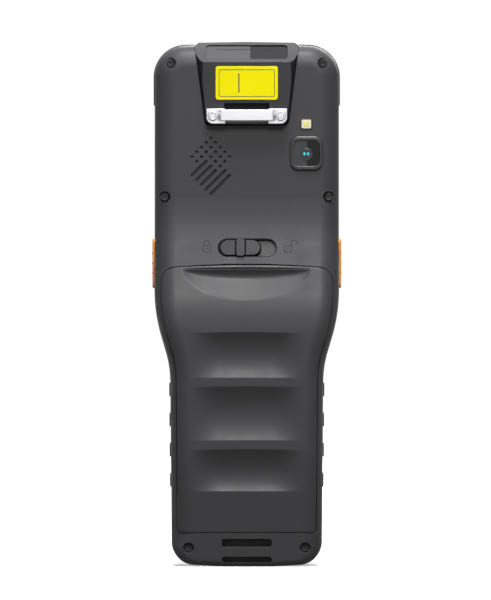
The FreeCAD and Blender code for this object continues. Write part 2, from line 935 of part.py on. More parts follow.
def light_path():
    """The hollow between the scan engine and the scan window."""
    under, lip = window_sunk + window_thick, light_lip
    low, high = tilted_point(window_low + lip, under), tilted_point(window_high - lip, under)
    start = window_low - engine_height
    corners = [(-cap_face_reach + cap_wall, start, 0), (0.0, start, 0), (0.0, high[1], 0),
               (high[0], high[1], 0), (low[0], low[1], 0), (-cap_face_reach + cap_wall, low[1], 0)]
    path = bar(corners, -window_half + lip, window_half - lip)
    throat = tilted_plate(window_low + lip, window_high - lip, window_half - lip, 0.0,
                          0.0, under + throat_depth)
    return path.fuse(throat)


def strap_pocket():
    """The round-floored pocket behind the bracket's bar."""
    centre = Vector(-pocket_half, -cap_face_reach - pocket_offset, pocket_place)
    return Part.makeCylinder(pocket_radius, 2 * pocket_half, centre, Vector(1, 0, 0))


def strap_bracket():
    """A pressed steel bracket with two screwed ears and a raised bar for a strap."""
    rear = -cap_face_reach - bracket_sheet
    ear_low = cap_low + cap_low_draft
    corners = [(bracket_ear_inner, ear_low, 0), (bracket_half, ear_low, cap_corner_radius),
               (bracket_half, bracket_ear_high, 0), (bracket_ear_inner, bracket_ear_high, 0)]
    hole = small_rod(bracket_screw_place, bracket_place, bracket_screw_shank, rear - past, past)
    ears = both_sides(plate(corners, rear, -cap_face_reach).cut(hole))
    step = bracket_bar_half + bracket_bar_lift
    under = -cap_face_reach - bracket_bar_lift
    section = [(-step, -cap_face_reach), (-step, rear), (-bracket_bar_half, under - bracket_sheet),
               (bracket_bar_half, under - bracket_sheet), (step, rear), (step, -cap_face_reach),
               (bracket_bar_half, -cap_face_reach), (bracket_bar_half - bracket_bar_lift, under),
               (bracket_bar_lift - bracket_bar_half, under), (-bracket_bar_half, -cap_face_reach)]
    wire = Part.makePolygon([Vector(x, y, bracket_bar_low) for x, y in section + section[:1]])
    strip = Part.Face(wire).extrude(Vector(0, 0, bracket_bar_high - bracket_bar_low))
    return strip.fuse(ears)


def bracket_screws():
    """The two screws that hold the bracket's ears."""
    rear = -cap_face_reach - bracket_sheet
    screws = []
    for side in (-1, 1):
        across = side * bracket_screw_place
        head = rod(across, bracket_place, bracket_screw_head, rear - bracket_screw_height, rear)
        shank = small_rod(across, bracket_place, bracket_screw_shank, rear,
                          -cap_face_reach + bracket_screw_length)
        screws.append(head.fuse(shank))
    return Part.makeCompound(screws)


def case_screws():
    """The six screws that close the case."""
    screws = []
    for across, height in screw_places:
        seat = -screw_surface(across, height) + screw_recess_depth
        head = rod(across, height, screw_head_radius, seat - screw_head_height, seat)
        shank = small_rod(across, height, screw_shank_radius, seat, seat + screw_length)
        screws += both_sides(head.fuse(shank))
    return Part.makeCompound(screws)


def camera_hole(width, height, radius, rear, front):
    """A rounded block on the camera's middle."""
    return plate(rectangle(camera_across, camera_place, width, height, radius), rear, front)


def rear_housing():
    """The rear shell with the battery bay, strap slots, bosses and openings."""
    body = shell.cut(box(-head_half - past, head_half + past, split_reach, front_reach + past,
                         -past, case_top + past))
    room = chamfered_form(wall)
    above_bay = box(-head_half, head_half, -crest_reach, split_reach + past, bay_roof, case_top)
    behind_bay = box(-head_half, head_half, bay_floor + bay_floor_wall, split_reach + past,
                     0.0, bay_roof + past)
    body = body.cut([room.common(above_bay), room.common(behind_bay)])
    bosses = []
    for across, height in screw_places:
        rear = -screw_surface(across, height) + screw_recess_depth / 2
        bosses += both_sides(small_rod(across, height, boss_radius, rear, split_reach))
    pad_half = latch_recess_length / 2 + wall
    pad = rectangle(latch_across, latch_place, 2 * pad_half, latch_recess_width + wall, 0.0)
    bosses.append(latch_layer(pad, -latch_recess_depth / 2, latch_recess_depth + latch_pad))
    body = body.fuse(bosses).common(shell)
    return body.cut(rear_cuts())


def rear_cuts():
    """All that is taken out of the rear shell."""
    cuts = [bay_pocket(), cover_seat(), bumper_ring(), window_seat(), light_path(), tongue_slot()]
    half = keeper_half + keeper_side_gap
    cuts.append(box(-half, half, -crest_reach, -keeper_reach + keeper_front_gap,
                    cover_crown() - keeper_height - keeper_swing, cover_crown() + skin_gap))
    cuts += both_sides(side_key(skin_gap)) + both_sides(side_key_room())
    cuts += both_sides(grip_layer())
    for across, height in screw_places:
        surface = -screw_surface(across, height)
        seat = surface + screw_recess_depth
        cuts += both_sides(rod(across, height, screw_recess_radius, surface - past, seat))
        cuts += both_sides(small_rod(across, height, screw_shank_radius, seat, split_reach + past))
    cuts += grille_cuts()
    recess = obround(latch_across - latch_recess_length / 2, latch_across + latch_recess_length / 2,
                     latch_recess_width)
    cuts.append(latch_layer(recess, past, latch_recess_depth))
    rib_middle = (latch_rib_low + latch_rib_high) / 2
    neck_left = rib_middle - latch_neck_length / 2 - skin_gap
    neck_right = rib_middle + latch_neck_length / 2 + latch_travel + skin_gap
    neck = rectangle((neck_left + neck_right) / 2, latch_place, neck_right - neck_left,
                     latch_neck_width + 2 * skin_gap, 0.0)
    cuts.append(latch_layer(neck, 0.0, latch_recess_depth + latch_pad + latch_room))
    cuts.append(camera_hole(bezel_width, bezel_height, bezel_radius, -head_reach - past,
                            -head_reach + bezel_sunk))
    cuts.append(rod(camera_across, camera_place, camera_barrel_radius, -head_reach, past))
    flash = rectangle(camera_across, flash_place, flash_width, flash_height, flash_radius)
    cuts.append(plate(flash, -head_reach - past, past))
    cuts += strap_slots() + contact_slots()
    cuts += both_sides(hinge_sector(hook_half + hook_side_gap, hook_inner - skin_gap,
                                    hook_outer + skin_gap, 0.0, hook_end + hook_end_gap))
    cuts.append(box(-usb_half, usb_half, usb_front - usb_height, usb_front, -past, usb_depth))
    return cuts


def bay_pocket():
    """The room that the battery pack takes, with its clearance."""
    width, height = 2 * (pack_half + pack_gap), pack_high - pack_low + 2 * pack_gap
    middle = (pack_low + pack_high) / 2
    return plate(rectangle(0.0, middle, width, height, pack_radius), -crest_reach - past, bay_floor)


def cover_seat():
    """The layer that the battery cover takes off the rear shell."""
    opening = plate(cover_outline(skin_gap), -crest_reach - past, past)
    layer = opening.common(shell).cut(chamfered_form(cover_wall + skin_gap))
    return layer.fuse(opening.common(thumb_scoop(cover_wall + skin_gap)))


def strap_slots():
    """Two slots in the lower end, joined behind the bar between them."""
    cuts = []
    for low, high in (upper_slot, lower_slot):
        rear = -rear_reach((low + high) / 2)
        corners = rectangle(0.0, (low + high) / 2, 2 * slot_half, high - low, slot_radius)
        cuts.append(plate(corners, rear - past, rear + slot_depth))
    rear = -rear_reach(lower_slot[1])
    cuts.append(box(-slot_half + slot_radius, slot_half - slot_radius, rear + slot_depth - tunnel_depth,
                    rear + slot_depth, lower_slot[0] + slot_radius / 2, upper_slot[1] - slot_radius / 2))
    return cuts


def contact_block(number, rear, gap=0.0):
    """One battery contact, from Y = rear to the main board."""
    across = (number - (contact_count - 1) / 2) * contact_pitch
    half = contact_width / 2 + gap
    low = contact_place - contact_height / 2 - gap
    return box(across - half, across + half, rear, board_front - board_thick, low,
               low + contact_height + 2 * gap)


def contact_slots():
    """Slots in the bay's floor for the battery contacts."""
    return [contact_block(number, -past, skin_gap) for number in range(contact_count)]


def front_housing():
    """The front shell with the screen's seat, the key openings and the lower pads."""
    body = shell.common(box(-head_half - past, head_half + past, split_reach, front_reach + past,
                            -past, case_top + past))
    body = body.cut(plate(inset(case_outline(), wall), split_reach - past, front_reach - wall))
    bosses = []
    for across, height in screw_places:
        bosses += both_sides(small_rod(across, height, boss_radius, split_reach,
                                       front_reach - wall / 2))
    body = body.fuse(bosses).common(shell)
    cuts = [bumper_ring(), seal_ring(), glass_plate(skin_gap / 2, past)]
    screen = rectangle(0.0, (glass_low + glass_high) / 2, 2 * (glass_half - glass_ledge),
                       glass_high - glass_low - 2 * glass_ledge, glass_radius / 2)
    cuts.append(plate(screen, split_reach, front_reach + past))
    for name, across, height, width, tall in key_list():
        corners = clipped(across, height, width + 2 * key_gap, tall + 2 * key_gap, key_corner)
        cuts.append(plate(corners, split_reach, front_reach + past))
    for across, height in screw_places:
        seat = -screw_surface(across, height) + screw_recess_depth
        cuts += both_sides(small_rod(across, height, screw_shank_radius, 0.0, seat + screw_length))
    ear = rectangle(0.0, ear_slot_place, 2 * ear_slot_half, 2 * ear_slot_radius, ear_slot_radius)
    cuts.append(plate(ear, split_reach, front_reach + past))
    cuts.append(rod(lamp_across, ear_slot_place, lamp_radius, split_reach, front_reach + past))
    cuts += [contact_pad(number, -past) for number in range(pad_count)]
    return body.cut(cuts)


def seal_ring():
    """The soft ring between the two shells, in a groove of the front one."""
    margin = (wall - seal_width) / 2
    outer = plate(inset(case_outline(), margin), split_reach, split_reach + seal_height)
    inner = plate(inset(case_outline(), margin + seal_width), 0.0, front_reach)
    return outer.cut([inner, bumper_ring()])


def glass_plate(gap=0.0, over=0.0):
    """The screen's glass, or its seat where gap is over zero."""
    middle = (glass_low + glass_high) / 2
    corners = rectangle(0.0, middle, 2 * (glass_half + gap), glass_high - glass_low + 2 * gap,
                        glass_radius)
    return plate(corners, front_reach - glass_thick, front_reach + over)


def contact_pad(number, low):
    """One charging pad in the lower end."""
    across = (number - (pad_count - 1) / 2) * pad_pitch
    return box(across - pad_half, across + pad_half, pad_reach - 2 * pad_half,
               pad_reach + 2 * pad_half, low, pad_sunk + pad_depth)


def front_key(across, height, width, tall):
    """A key with a flange behind the wall, resting over its switch."""
    top = front_reach + key_proud
    back = front_reach - wall - skin_gap
    cap = plate(clipped(across, height, width, tall, key_corner), back, top)
    rim = [edge for edge in cap.Edges if abs(edge.CenterOfMass.y - top) < near]
    cap = cap.makeChamfer(key_chamfer, rim)
    half, half_tall = width / 2 + key_lip, tall / 2 + key_lip
    flange = box(across - half, across + half, back - key_flange, back, height - half_tall,
                 height + half_tall)
    return cap.fuse(flange)


def battery_cover():
    """The moulded battery cover, with its thumb scoop, finger grooves, hooks and keeper."""
    blank = plate(cover_outline(), -crest_reach - past, past)
    solid = shell.common(blank)
    skin = solid.cut(chamfered_form(cover_wall)).fuse(solid.common(thumb_scoop(cover_wall)))
    half = pack_half + pack_gap - pad_wall
    low, high = pack_low - pack_gap + pad_wall, pack_high + pack_gap - pad_wall
    pad = box(-half, half, -crest_reach, -pack_rear, low, high)
    keeper = box(-keeper_half, keeper_half, -rear_reach(cover_shoulder) + cover_wall / 2,
                 -keeper_reach, cover_crown() - skin_gap - keeper_height, cover_crown() - skin_gap)
    cover = skin.fuse([shell.common(pad), keeper] + both_sides(cover_hook()))
    cuts = [thumb_scoop(), battery_pack()] + [finger_groove(*span) for span in groove_spans]
    return cover.cut(cuts)


def hinge_sector(half, inner, outer, start, end):
    """A sector of a ring about the battery's hinge, at the right hook, turned from upright."""
    height = cover_low + skin_gap
    centre = Vector(hook_place, -rear_reach(height), height)
    corners = [(-half, inner), (half, inner), (half, outer), (-half, outer), (-half, inner)]
    face = Part.Face(Part.makePolygon([centre + Vector(x, 0, z) for x, z in corners]))
    face.rotate(centre, Vector(-1, 0, 0), start)
    return face.revolve(centre, Vector(-1, 0, 0), end - start)


def cover_hook():
    """A round hook at the cover's lower edge that turns in under the toe of the case."""
    return hinge_sector(hook_half, hook_inner, hook_outer, hook_start, hook_end)


def battery_pack():
    """The cells in their case, fixed inside the cover."""
    corners = rectangle(0.0, (pack_low + pack_high) / 2, 2 * pack_half, pack_high - pack_low,
                        pack_radius)
    return plate(corners, -pack_rear, pack_front)


def board(front, thick, low, high):
    """A circuit board that follows the case's outline."""
    sheet = plate(inset(case_outline(), board_inset), front - thick, front)
    return sheet.common(box(-head_half, head_half, -past, front + past, low, high))


def scan_engine():
    """The scan engine, leaning like its window."""
    engine = box(-engine_half, engine_half, -engine_depth / 2, engine_depth / 2,
                 -engine_height / 2, engine_height / 2)
    engine.rotate(Vector(0, 0, 0), Vector(1, 0, 0), -tilt_angle())
    engine.translate(Vector(0, 0, engine_place))
    return engine


def camera_parts():
    """The camera's raised frame, its dark window and the module behind it."""
    rear = -head_reach - bezel_proud
    seat = -head_reach + bezel_sunk
    opening = camera_hole(camera_window_width, camera_window_height, camera_window_radius,
                          rear - past, past)
    frame = camera_hole(bezel_width, bezel_height, bezel_radius, rear, seat)
    edges = [edge for edge in frame.Edges if abs(edge.CenterOfMass.y - rear) < near]
    frame = frame.makeChamfer(bezel_proud * rim_share, edges).cut(opening)
    top = rear + camera_window_drop
    window = camera_hole(camera_window_width, camera_window_height, camera_window_radius,
                         top, top + camera_window_thick)
    inner = -head_reach + wall + skin_gap
    half = camera_body_side / 2
    module = box(camera_across - half, camera_across + half, inner, inner + camera_body_depth,
                 camera_place - half, camera_place + half)
    barrel = rod(camera_across, camera_place, camera_barrel_radius - skin_gap,
                 top + camera_window_thick, inner)
    return frame, window, module.fuse(barrel)


def usb_socket():
    """The data and charging socket in the lower end."""
    rear = usb_front - usb_height
    body = box(-usb_half, usb_half, rear, usb_front, pad_sunk, usb_depth)
    mouth = box(-usb_half + usb_wall, usb_half - usb_wall, rear + usb_wall, usb_front - usb_wall,
                0.0, usb_depth - usb_wall)
    middle, half = rear + usb_height / 2, usb_tongue_thick / 2
    tongue = box(-usb_tongue_half, usb_tongue_half, middle - half, middle + half,
                 pad_sunk + usb_wall, usb_depth)
    return body.cut(mouth).fuse(tongue)


def side_switches():
    """The two switches behind the side keys."""
    outer = head_half + side_key_proud - side_key_depth - side_key_flange - side_key_travel
    outer -= skin_gap
    middle = (side_key_low + side_key_high) / 2
    half = side_switch_length / 2
    switch = box(outer - side_switch_depth, outer, -half / 2, half / 2, middle - half, middle + half)
    return Part.makeCompound(both_sides(switch))


def save(name, shape):
    """Writes one piece under its own name."""
    shape.exportStep("parts/" + name + ".step")


os.makedirs("parts", exist_ok=True)
drawing = FreeCAD.newDocument("Terminal")
shell = rounded_form()

save("rear_housing", rear_housing())
save("front_housing", front_housing())
save("case_seal", seal_ring())
save("case_screws", case_screws())
save("corner_bumpers", bumper_ring())
save("scan_cap", scan_cap())
save("scan_window", tilted_plate(window_low, window_high, window_half, window_radius, window_sunk,
                                 window_sunk + window_thick))
save("scan_engine", scan_engine())
save("label_plate", plate(rectangle(0.0, label_place, label_width, label_height, label_radius),
                          -cap_face_reach - label_thick, -cap_face_reach))
save("strap_bracket", strap_bracket())
save("strap_bracket_screws", bracket_screws())
bezel, window, module = camera_parts()
save("camera_bezel", bezel)
save("camera_window", window)
save("camera_module", module)
save("flash_lens", plate(rectangle(camera_across, flash_place, flash_width, flash_height, flash_radius),
                         -head_reach - flash_proud, -head_reach - flash_proud + flash_length))
mesh_rear = -head_reach + wall
save("speaker_mesh", plate(rectangle(grille_across, speaker_place, mesh_width, mesh_height,
                                     mesh_corner),
                           mesh_rear, mesh_rear + mesh_thick))
save("speaker", rod(grille_across, speaker_place, speaker_radius, mesh_rear + mesh_thick,
                    mesh_rear + mesh_thick + speaker_depth))
save("latch_slider", latch_slider())
save("latch_bolt", latch_bolt())
for side, key in zip(("right", "left"), both_sides(side_key_right())):
    save("side_key_" + side, key)
for side, grip in zip(("right", "left"), both_sides(side_grip_right())):
    save("side_grip_" + side, grip)
save("side_switches", side_switches())
save("battery_cover", battery_cover())
save("battery_pack", battery_pack())
save("battery_contacts", Part.makeCompound([
    contact_block(number, pack_front + skin_gap) for number in range(contact_count)]))
save("display_window", glass_plate())
screen_rear = front_reach - wall - screen_gap - screen_depth
save("display_module", box(-glass_half + screen_margin, glass_half - screen_margin, screen_rear,
                           screen_rear + screen_depth, glass_low + screen_margin,
                           glass_high - screen_margin))
save("main_board", board(board_front, board_thick, board_low, board_high))
save("keypad_board", board(keypad_front, keypad_thick, board_low, keypad_high))
ear_half = ear_slot_half + ear_mesh_margin
ear_tall = 2 * (ear_slot_radius + ear_mesh_margin)
save("earpiece_mesh", plate(rectangle(0.0, ear_slot_place, 2 * ear_half, ear_tall, mesh_corner),
                            front_reach - wall - mesh_thick, front_reach - wall))
save("status_light", rod(lamp_across, ear_slot_place, lamp_radius, front_reach - wall, front_reach))
save("usb_socket", usb_socket())
save("charging_contacts", Part.makeCompound([
    contact_pad(number, pad_sunk) for number in range(pad_count)]))
for name, across, height, width, tall in key_list():
    save("key_" + name, front_key(across, height, width, tall))
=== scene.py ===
import logging
import math
from dataclasses import dataclass, replace
from enum import Enum
from typing import Callable, Iterable, Optional, Sequence, Union

import bmesh
import bpy
from mathutils import Matrix, Vector


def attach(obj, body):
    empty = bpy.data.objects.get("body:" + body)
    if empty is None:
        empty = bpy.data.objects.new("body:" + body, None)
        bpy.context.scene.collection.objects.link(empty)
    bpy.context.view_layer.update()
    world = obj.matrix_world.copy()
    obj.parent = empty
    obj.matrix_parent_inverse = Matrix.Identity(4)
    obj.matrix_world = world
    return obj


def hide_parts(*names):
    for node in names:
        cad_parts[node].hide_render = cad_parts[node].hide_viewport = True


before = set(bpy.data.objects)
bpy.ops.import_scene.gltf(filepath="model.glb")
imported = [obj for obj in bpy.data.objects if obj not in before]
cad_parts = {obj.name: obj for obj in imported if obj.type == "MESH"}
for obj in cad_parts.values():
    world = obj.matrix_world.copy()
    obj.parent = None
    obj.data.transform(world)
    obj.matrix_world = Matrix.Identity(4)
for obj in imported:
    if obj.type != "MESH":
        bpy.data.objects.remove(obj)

MM = 0.001
LOG = logging.getLogger("terminal")
WHITE = (1.0, 1.0, 1.0, 1.0)
Piece = bpy.types.Object
Tree = bpy.types.NodeTree
Socket = bpy.types.NodeSocket
SocketValue = Union[Socket, float, int, Sequence[float]]
Pair = tuple[float, float]
Point = tuple[float, float, float]
EdgeTest = Callable[[bmesh.types.BMEdge], bool]
FaceTest = Callable[[bmesh.types.BMFace], bool]


# Colour and node helpers


def linear(code: str) -> tuple[float, float, float, float]:
    """Turns an sRGB hex colour into linear RGBA.

    Args:
        code: Six hex digits.

    Returns:
        Linear red, green, blue and an alpha of one.
    """
    channels = []
    for start in (0, 2, 4):
        value = int(code[start:start + 2], 16) / 255
        channels.append(value / 12.92 if value <= 0.04045 else ((value + 0.055) / 1.055) ** 2.4)
    return channels[0], channels[1], channels[2], 1.0


def add_node(tree: Tree, kind: str, links: Optional[dict[Union[str, int], SocketValue]] = None,
             **settings: object) -> bpy.types.Node:
    """Adds one node with its settings and fills its inputs.

    Args:
        tree: The node tree that gets the node.
        kind: The node's type name.
        links: Input name or number to a constant or to another node's output.
        **settings: Attributes of the node.

    Returns:
        The new node.
    """
    node = tree.nodes.new(kind)
    for name, value in settings.items():
        setattr(node, name, value)
    for name, value in (links or {}).items():
        if isinstance(value, Socket):
            tree.links.new(value, node.inputs[name])
        else:
            node.inputs[name].default_value = value
    return node


def new_material(name: str) -> tuple[bpy.types.Material, Tree]:
    """Starts an empty node material.

    Args:
        name: Name of the material.

    Returns:
        The material and its node tree.
    """
    material = bpy.data.materials.new(name)
    material.use_nodes = True
    material.node_tree.nodes.clear()
    return material, material.node_tree


# Finishes


@dataclass(frozen=True)
class Finish:
    """A surface made of one stuff, with its own grain and softened edges."""

    name: str
    colour: str
    roughness: float = 0.5
    metallic: float = 0.0
    ior: float = 1.5
    specular: float = 0.5
    coat: float = 0.0
    coat_roughness: float = 0.05
    grain_mm: float = 0.4
    grain_depth_mm: float = 0.012
    grain_strength: float = 0.5
    mottle_mm: float = 9.0
    mottle: float = 0.05
    uneven: float = 0.06
    # Nearly all values of a noise texture lie in this span
    noise_span: Pair = (0.3, 0.7)
    edge_mm: float = 0.25
    edge_samples: int = 6

    def build(self) -> bpy.types.Material:
        """Makes the material once and returns the same one afterwards."""
        known = bpy.data.materials.get(self.name)
        if known:
            return known
        material, tree = new_material(self.name)
        place = add_node(tree, "ShaderNodeTexCoord").outputs["Object"]
        shader = add_node(tree, "ShaderNodeBsdfPrincipled", {
            "Base Color": linear(self.colour), "Roughness": self.roughness, "Metallic": self.metallic,
            "IOR": self.ior, "Specular IOR Level": self.specular, "Coat Weight": self.coat,
            "Coat Roughness": self.coat_roughness, "Normal": self.relief(tree, place)})
        self.vary(tree, place, shader)
        add_node(tree, "ShaderNodeOutputMaterial", {"Surface": shader.outputs["BSDF"]})
        return material

    def relief(self, tree: Tree, place: Socket) -> Socket:
        """Softens the edges and adds the grain.

        Args:
            tree: The material's nodes.
            place: Where on the object a point is.

        Returns:
            The normal.
        """
        soft = add_node(tree, "ShaderNodeBevel", {"Radius": self.edge_mm * MM}, samples=self.edge_samples)
        if not self.grain_depth_mm:
            return soft.outputs["Normal"]
        grain = add_node(tree, "ShaderNodeTexNoise",
                         {"Vector": place, "Scale": 1 / (self.grain_mm * MM), "Detail": 1.0})
        bump = add_node(tree, "ShaderNodeBump", {
            "Strength": self.grain_strength, "Distance": self.grain_depth_mm * MM,
            "Height": grain.outputs["Fac"], "Normal": soft.outputs["Normal"]})
        return bump.outputs["Normal"]

    def vary(self, tree: Tree, place: Socket, shader: bpy.types.Node) -> None:
        """Lets the colour and the gloss drift a little over the surface.

        Args:
            tree: The material's nodes.
            place: Where on the object a point is.
            shader: The node that gets both.
        """
        if not (self.mottle or self.uneven):
            return
        broad = add_node(tree, "ShaderNodeTexNoise",
                         {"Vector": place, "Scale": 1 / (self.mottle_mm * MM), "Detail": 3.0}).outputs["Fac"]
        if self.mottle:
            dark, light = ([min(channel * share, 1.0) for channel in linear(self.colour)[:3]] + [1.0]
                           for share in (1 - self.mottle, 1 + self.mottle))
            tone = add_node(tree, "ShaderNodeMix", {0: broad, 6: dark, 7: light}, data_type="RGBA")
            tree.links.new(tone.outputs[2], shader.inputs["Base Color"])
        if self.uneven:
            rough = add_node(tree, "ShaderNodeMapRange", {
                "Value": broad, "From Min": self.noise_span[0], "From Max": self.noise_span[1],
                "To Min": self.roughness - self.uneven, "To Max": self.roughness + self.uneven})
            tree.links.new(rough.outputs["Result"], shader.inputs["Roughness"])


# Moulded ABS and polycarbonate from a spark-eroded mould: a dull satin with a fine even grain
CASE_PLASTIC = Finish("case_moulded_abs", "414143", roughness=0.46, specular=0.28)
COVER_PLASTIC = Finish("cover_moulded_abs", "404042", roughness=0.43, specular=0.3)
CAP_PLASTIC = Finish("cap_moulded_abs", "39393b", roughness=0.45, specular=0.2)
# Painted shade: the same plastic made close to black, with little gloss, on walls where shade falls
PAINTED_SHADE_PLASTIC = Finish("cap_wall_moulded_abs", "1d1d1f", roughness=0.5, specular=0.15)
# The same plastic from a finer mould: a tighter gloss along its rounded edge
BEZEL_PLASTIC = Finish("bezel_moulded_abs", "323234", roughness=0.35, specular=0.5)
# The same plastic where the mould stamps a thin line: a matt line that only just shows
LINE_PLASTIC = Finish("stamped_line_abs", "424244", roughness=0.6, specular=0.1)
# Moulded nylon, for parts that sit deep: black and dry
BLACK_PLASTIC = Finish("black_moulded_nylon", "151516", roughness=0.55)
# Moulded rubber that fills a narrow gap: a black line with no shine
# Painted shadow: a black line with no shine, laid in the narrow gaps round the latch slider where shade falls
GAP_SHADOW_PAINT = Finish("gap_skirt_rubber", "0a0a0b", roughness=0.8, specular=0.05)
# Overmoulded thermoplastic elastomer: duller than the case beside it
GRIP_RUBBER = Finish("grip_overmoulded_elastomer", "4a4a4c", roughness=0.6, specular=0.2, grain_mm=0.5)
BUMPER_RUBBER = Finish("bumper_moulded_elastomer", "3a3a3c", roughness=0.55, specular=0.12)
# Moulded silicone rubber: an even colour with a soft gloss and hardly any grain
ORANGE_RUBBER = Finish("orange_silicone_rubber", "f8931f", roughness=0.48, grain_depth_mm=0.006, mottle=0.03)
KEY_RUBBER = Finish("key_silicone_rubber", "333335", roughness=0.55, grain_depth_mm=0.006)
# Extruded nitrile rubber: matt black
SEAL_RUBBER = Finish("seal_nitrile_rubber", "161617", roughness=0.7)
# Toughened glass over a dark print: mirror smooth and near black. Its paler copy is a painted reflection, for the left
# half of the camera window
COVER_GLASS = Finish("toughened_cover_glass", "0b0c0d", roughness=0.04, uneven=0.0, specular=0.3, grain_depth_mm=0.0,
                     mottle=0.0, edge_mm=0.15)
REFLECTION_PAINTED_COVER_GLASS = replace(COVER_GLASS, name="toughened_glass_pale_print", colour="414143", roughness=0.05)
# Polished smoked glass: dark and clear cut. Its paler copy is a painted reflection, for the left half of the scan
# window
SMOKED_GLASS = replace(COVER_GLASS, name="smoked_window_glass", colour="242426", roughness=0.06, specular=0.5)
REFLECTION_PAINTED_SMOKED_GLASS = replace(SMOKED_GLASS, name="smoked_window_glass_pale", colour="545456")
# Coated lens glass: nearly black. Blue green painted glints stand for reflections on its coating
LENS_GLASS = Finish("coated_lens_glass", "06161b", roughness=0.05, uneven=0.0, coat=0.4, grain_depth_mm=0.0, mottle=0.0)
PAINTED_LENS_GLINT = Finish("lens_coating_glint", "4fe0ee", roughness=0.1, uneven=0.0, grain_depth_mm=0.0, mottle=0.0)
# Laminated polarising film: a dull black mirror
SCREEN_FILM = Finish("screen_polariser", "101215", roughness=0.2, grain_depth_mm=0.0)
# Cast clear resin: pale and glossy
LAMP_RESIN = Finish("lamp_clear_resin", "dfe9d8", roughness=0.15, grain_depth_mm=0.0, coat=0.5)
# Phosphor under cast resin: a yellow grain in a cream, glossy block
FLASH_DIE = Finish("flash_phosphor_die", "f5ee7e", roughness=0.3, grain_mm=0.3, grain_depth_mm=0.02)
FLASH_RESIN = Finish("flash_phosphor_resin", "f1ead0", roughness=0.2, grain_mm=0.5, grain_depth_mm=0.05, coat=0.6)
# Printed polyester film: flat bright yellow with a low satin gloss
YELLOW_FILM = Finish("yellow_polyester_film", "fff200", roughness=0.45, specular=0.15, grain_depth_mm=0.0, mottle=0.01)
# Screen-printed ink: a thin even layer, half matt
PRINT_INK = Finish("dark_print_ink", "1d2440", roughness=0.45, grain_depth_mm=0.0)
WHITE_INK = Finish("white_print_ink", "e6e6e4", roughness=0.5, grain_depth_mm=0.0)
# Pressed and polished stainless sheet: pale, with a soft mirror
POLISHED_STEEL = Finish("polished_stainless_sheet", "dadadc", roughness=0.42, metallic=1.0, grain_mm=1.2,
                        grain_depth_mm=0.002, mottle=0.015)
# Painted shade: the same sheet as a thin grey line in its folds and round its screws, where no light reaches
PAINTED_SHADE_STEEL = Finish("stainless_in_shadow", "8e8e92", roughness=0.6, metallic=0.6, grain_depth_mm=0.0)
# Black oxide on turned steel: dark, with a faint metal gleam
BLACK_STEEL = Finish("black_oxide_steel", "232325", roughness=0.45, metallic=0.3, grain_depth_mm=0.0)
# Nickel and gold plate on stamped metal: bright and clean
SHELL_STEEL = Finish("nickel_plated_shell", "b9bcc0", roughness=0.28, metallic=1.0, grain_depth_mm=0.0)
GOLD_PLATE = Finish("gold_plated_contact", "e0b550", roughness=0.25, metallic=1.0, grain_depth_mm=0.0)
# Solder mask on glass-fibre board: green with a thin gloss coat
SOLDER_MASK = Finish("green_solder_mask", "1f4d36", roughness=0.35, coat=0.3)
# Woven acoustic cloth: its 0.1 mm threads are too fine to show, so the grain is drawn at 0.3 mm
WOVEN_MESH = Finish("black_woven_mesh", "363638", roughness=0.8, grain_mm=0.3, grain_depth_mm=0.1)
# Shrink film on a battery: dark with a slack, uneven gloss
CELL_FILM = Finish("cell_shrink_film", "2b2b2e", roughness=0.42)

NODE_FINISHES: dict[str, Finish] = {
    "rear_housing": CASE_PLASTIC, "front_housing": CASE_PLASTIC, "scan_cap": CAP_PLASTIC,
    "battery_cover": COVER_PLASTIC, "battery_pack": CELL_FILM, "battery_contacts": GOLD_PLATE,
    "corner_bumpers": BUMPER_RUBBER, "side_grip_left": GRIP_RUBBER, "side_grip_right": GRIP_RUBBER,
    "case_seal": SEAL_RUBBER, "case_screws": BLACK_STEEL, "scan_window": SMOKED_GLASS,
    "scan_engine": BLACK_PLASTIC, "label_plate": YELLOW_FILM, "strap_bracket": POLISHED_STEEL,
    "strap_bracket_screws": POLISHED_STEEL, "camera_bezel": BEZEL_PLASTIC, "camera_window": COVER_GLASS,
    "camera_module": BLACK_PLASTIC, "flash_lens": FLASH_RESIN, "speaker": BLACK_PLASTIC,
    "speaker_mesh": WOVEN_MESH, "latch_slider": CAP_PLASTIC, "latch_bolt": BLACK_PLASTIC,
    "side_key_left": ORANGE_RUBBER, "side_key_right": ORANGE_RUBBER, "side_switches": BLACK_PLASTIC,
    "display_window": COVER_GLASS, "display_module": SCREEN_FILM, "main_board": SOLDER_MASK,
    "keypad_board": SOLDER_MASK, "earpiece_mesh": WOVEN_MESH, "status_light": LAMP_RESIN,
    "usb_socket": SHELL_STEEL, "charging_contacts": GOLD_PLATE, "key_scan": ORANGE_RUBBER,
}


# Modelling helpers


def deselect() -> None:
    """Leaves edit mode and selects nothing."""
    if bpy.context.object and bpy.context.object.mode != "OBJECT":
        bpy.ops.object.mode_set(mode="OBJECT")
    bpy.ops.object.select_all(action="DESELECT")


def activate(piece: Piece) -> None:
    """Selects one object alone and makes it the active one."""
    deselect()
    piece.select_set(True)
    bpy.context.view_layer.objects.active = piece


def settle(piece: Piece) -> Piece:
    """Puts a piece's place into its mesh, with its object at the origin."""
    activate(piece)
    bpy.ops.object.transform_apply(location=True, rotation=True, scale=True)
    return piece


def make_block(name: str, low: Sequence[float], high: Sequence[float]) -> Piece:
    """Adds a block between two corners given in millimetres.

    Args:
        name: Name of the piece.
        low: Lowest corner.
        high: Highest corner.

    Returns:
        The block, at the origin with its place in its mesh.
    """
    deselect()
    middle = [(a + b) / 2 * MM for a, b in zip(low, high)]
    size = [(b - a) * MM for a, b in zip(low, high)]
    bpy.ops.mesh.primitive_cube_add(size=1, location=middle, scale=size)
    piece = bpy.context.object
    piece.name = piece.data.name = name
    return settle(piece)


